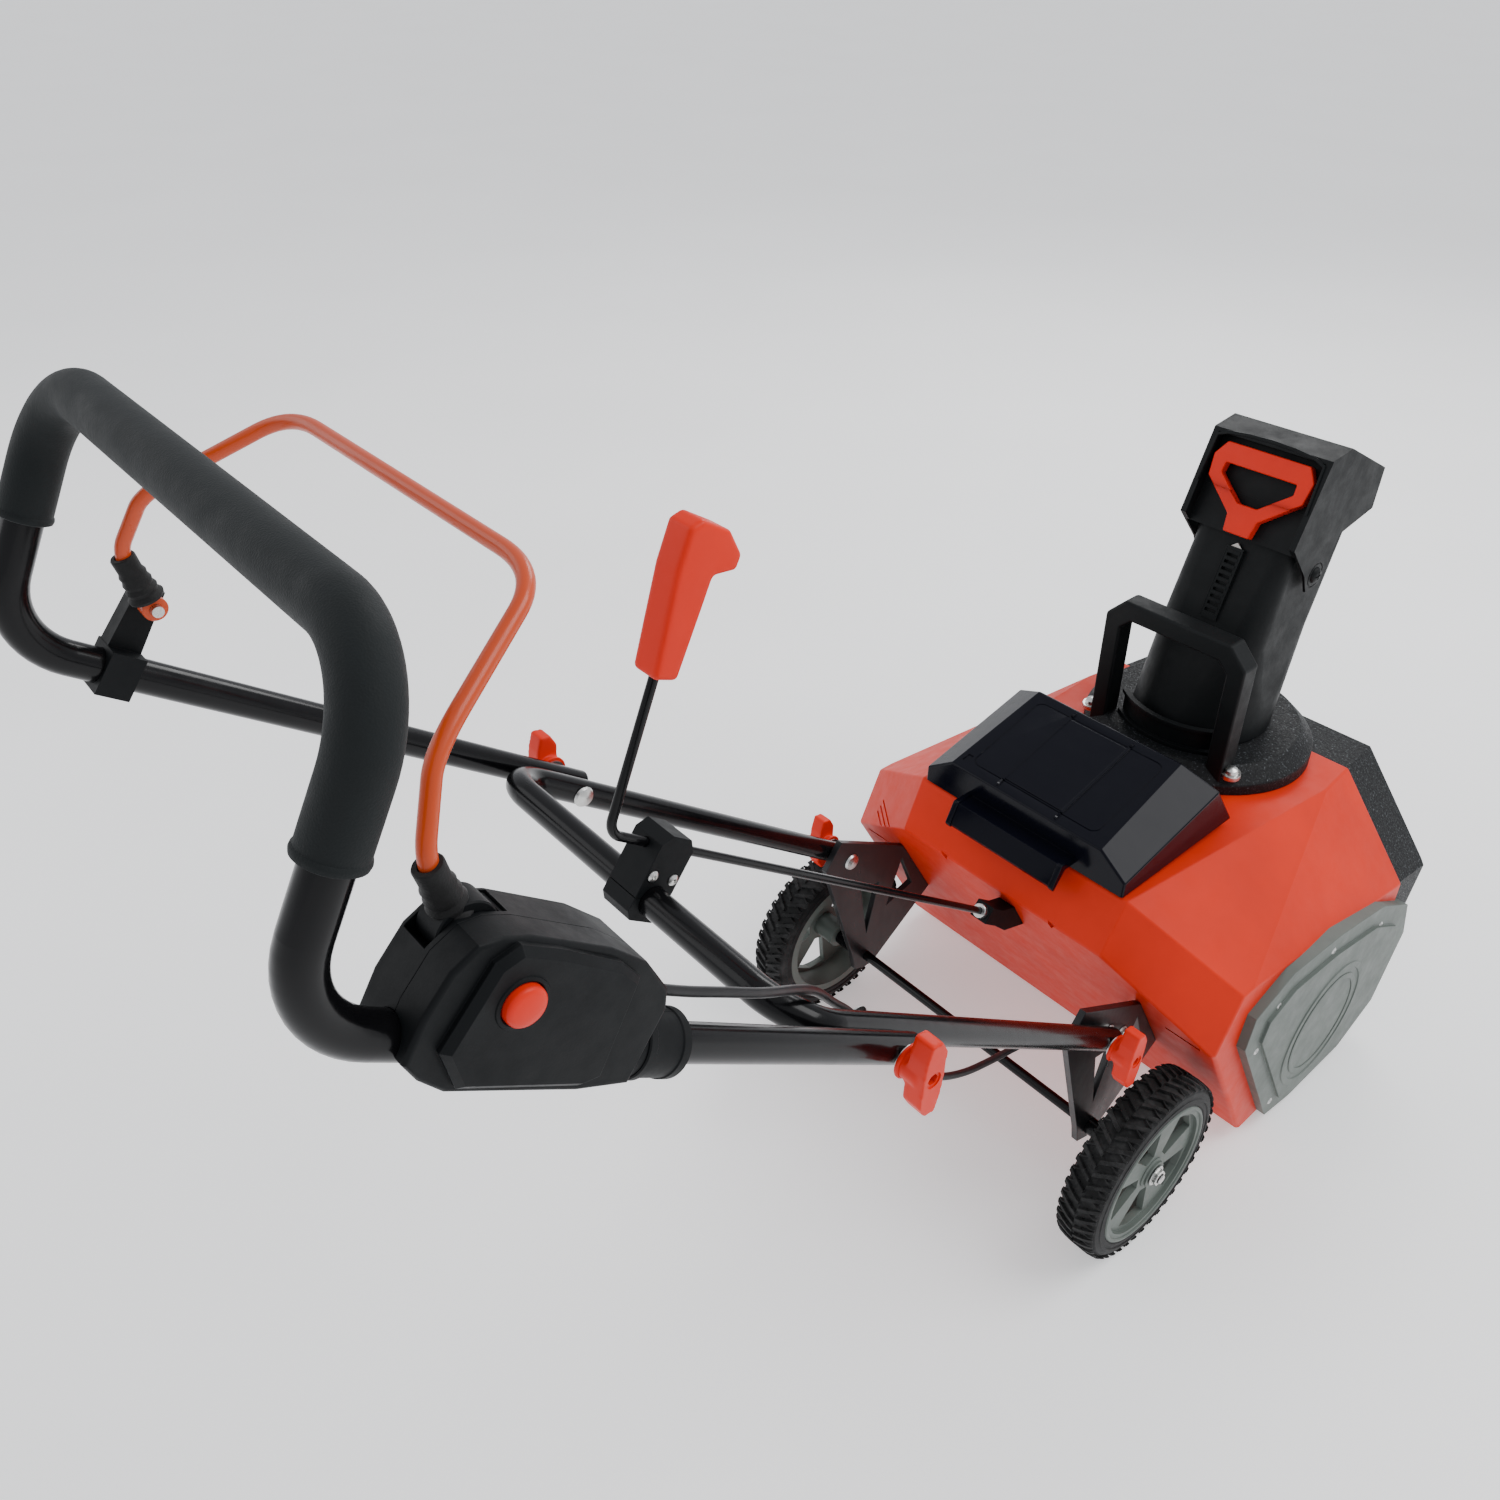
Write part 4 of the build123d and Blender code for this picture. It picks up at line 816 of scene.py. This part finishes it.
def bail_piece():
    """Bent bail rod with generous bends and its two hubs."""
    bend_reach, run_share = 75 * MM, 0.48
    half = [BAIL_PIVOT + Vector((BAIL_X * MM, 0, 0))]
    half += [Vector(p) * MM for p in ((BAIL_X, 972, 905), (190, 952, 946), (146, 862, 990))]
    corners = [Vector((-p.x, p.y, p.z)) for p in half] + list(reversed(half))
    control = [corners[0]]
    for before, corner, after in zip(corners, corners[1:], corners[2:]):
        near = [corner + run.normalized() * min(bend_reach, run.length * run_share)
                for run in (before - corner, after - corner)]
        control += [near[0], corner, near[1]]
    control.append(corners[-1])
    rods = [tube(nurbs_points(control, 12), 5.0, "bail_rod", 24)]
    for x in (-212, 200):
        rods.append(lathe([(4.1, 0), (8, 0), (8.6, 0.8), (8.6, 11.2), (8, 12), (4.1, 12)],
                          across(x, 1, BAIL_PIVOT), "hub"))
    place(join(rods, "bail_bent"), "bail", angle=60)


def grip_foam():
    """Foam sleeve over the grip, with its rolled ends."""
    place(soften(copy_node("foam_grip", "foam_sleeve"), 1.5, 4), "foam_grip", angle=40)
    elbow, top = on_leg(0, 950), Vector((0, 973, 1020)) * MM
    seam = elbow + (top - elbow) * 0.48
    rolls = []
    for side in (-1, 1):
        seat = basis(seam + Vector((side * 219.5 * MM, 0, 0)), X_AXIS, elbow - top)
        rolls.append(lathe([(12.7, -4), (16.2, -4), (17.2, -3), (17.5, -1.4), (17, 0.6), (15.6, 1.4), (12.7, 1.4)],
                           seat, "roll", 56))
    place(join(rolls, "foam_ends"), body="handle_top", slot="foam_gray")


def lead_piece():
    """Power lead from the switch box to the housing, as one fixed tube."""
    route = [on_leg(-208, 737.9, 28), on_leg(-207, 694, 26), on_leg(-206, 650, 27.5), on_leg(-203, 604, 27),
             on_leg(-192, 556, 26), on_leg(-177, 508, 18), on_leg(-171, 470, 6), on_leg(-171, 439, -1),
             on_leg(-171, 410, -14), on_leg(-172, 362, -34), on_leg(-172, 306, -52), on_leg(-170, 248, -62),
             on_leg(-164, 190, -62), on_leg(-156, 132, -54), on_leg(-150, 76, -40), on_leg(-148, 26, -26),
             Vector((-148, 222, 219)) * MM, Vector((-148, 197, 214)) * MM]
    lead = tube(nurbs_points(route), 3.5, "power_lead")
    smooth(lead.data, 60)
    dress(lead, "lead_black")
    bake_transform(lead)
    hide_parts("power_lead_upper", "power_lead_lower")


def battery_piece():
    """Battery pack with ribs and a latch."""
    pack = soften(copy_node("battery_pack", "pack_shell"), 1.4)
    seat = basis((0, 0.138, 0.424), X_AXIS, Z_AXIS)
    ribs = [prism(rounded(2.2, 96, 1, (x, 0)), -0.6, 1.2, seat, "rib") for x in (-52, -46, -40, 40, 46, 52)]
    place(join([pack] + ribs, "pack_case"), "battery_pack")
    latch = soften(prism(rounded(42, 16, 4), -3.5, 0.8, seat, "pack_latch", 1), 0.8)
    place(latch, body="machine", slot="button_orange")


rounded_nodes()
housing_piece()
cover_pieces()
lid_pieces()
wheel_pieces()
auger_pieces()
chute_pieces()
dome_pieces()
knob_pieces()
clamp_pieces()
box_pieces()
bail_piece()
grip_foam()
lead_piece()
battery_piece()


# ---- camera, lights and floor ------------------------------------------------
CAMERA_AT = Vector((-0.639, 1.144, 1.277))
CAMERA_TURN, CAMERA_DIP = math.radians(48.818), math.radians(33.266)
camera_data = bpy.data.cameras.new("camera")
camera_data.sensor_width = 36
camera_data.lens = 30.34
camera_data.shift_x = -0.0127
camera_data.shift_y = -0.0305
camera_data.clip_start = 0.02
camera = bpy.data.objects.new("camera", camera_data)
camera.location = CAMERA_AT
look = Vector((math.sin(CAMERA_TURN) * math.cos(CAMERA_DIP), -math.cos(CAMERA_TURN) * math.cos(CAMERA_DIP),
               -math.sin(CAMERA_DIP)))
camera.rotation_euler = look.to_track_quat("-Z", "Y").to_euler()
bpy.context.scene.collection.objects.link(camera)
bpy.context.scene.camera = camera


def area_light(name, at, aim, size, power):
    """Soft rectangular lamp; size in metres, power in watts."""
    data = bpy.data.lights.new(name, "AREA")
    data.shape = "RECTANGLE"
    data.size, data.size_y = size
    data.energy = power
    lamp = bpy.data.objects.new(name, data)
    lamp.location = at
    lamp.rotation_euler = (Vector(aim) - Vector(at)).to_track_quat("-Z", "Y").to_euler()
    bpy.context.scene.collection.objects.link(lamp)


area_light("key", (-1.6, -1.2, 3.2), (0, 0.1, 0.3), (2.2, 2.2), 85)
area_light("fill", (2.4, 2.6, 2.2), (0, 0.3, 0.4), (2.5, 2.5), 26)
area_light("rim", (1.4, -2.6, 2.6), (0, 0, 0.4), (1.6, 1.2), 45)
world = bpy.data.worlds.new("studio")
world.use_nodes = True
sky = world.node_tree.nodes["Background"].inputs
sky["Color"].default_value = (0.93, 0.95, 1.0, 1)
sky["Strength"].default_value = 0.85
bpy.context.scene.world = world

FLOOR_HALF = 150000
floor = prism([(-FLOOR_HALF, -FLOOR_HALF), (FLOOR_HALF, -FLOOR_HALF), (FLOOR_HALF, FLOOR_HALF),
               (-FLOOR_HALF, FLOOR_HALF)], -20, 0, name="floor")
floor_material, floor_tree, floor_shader, floor_at = new_material("pale_floor")
mottle = noise(floor_tree, floor_at, 1.5, 4)
floor_tree.links.new(ramp(floor_tree, mottle, [(0.3, (0.80, 0.80, 0.80)), (0.7, (0.84, 0.84, 0.84))]),
                     floor_shader.inputs["Base Color"])
floor_shader.inputs["Roughness"].default_value = 0.7
floor_shader.inputs["Emission Color"].default_value = (1, 1, 1, 1)
floor_shader.inputs["Emission Strength"].default_value = 0.42
floor.data.materials.append(floor_material)
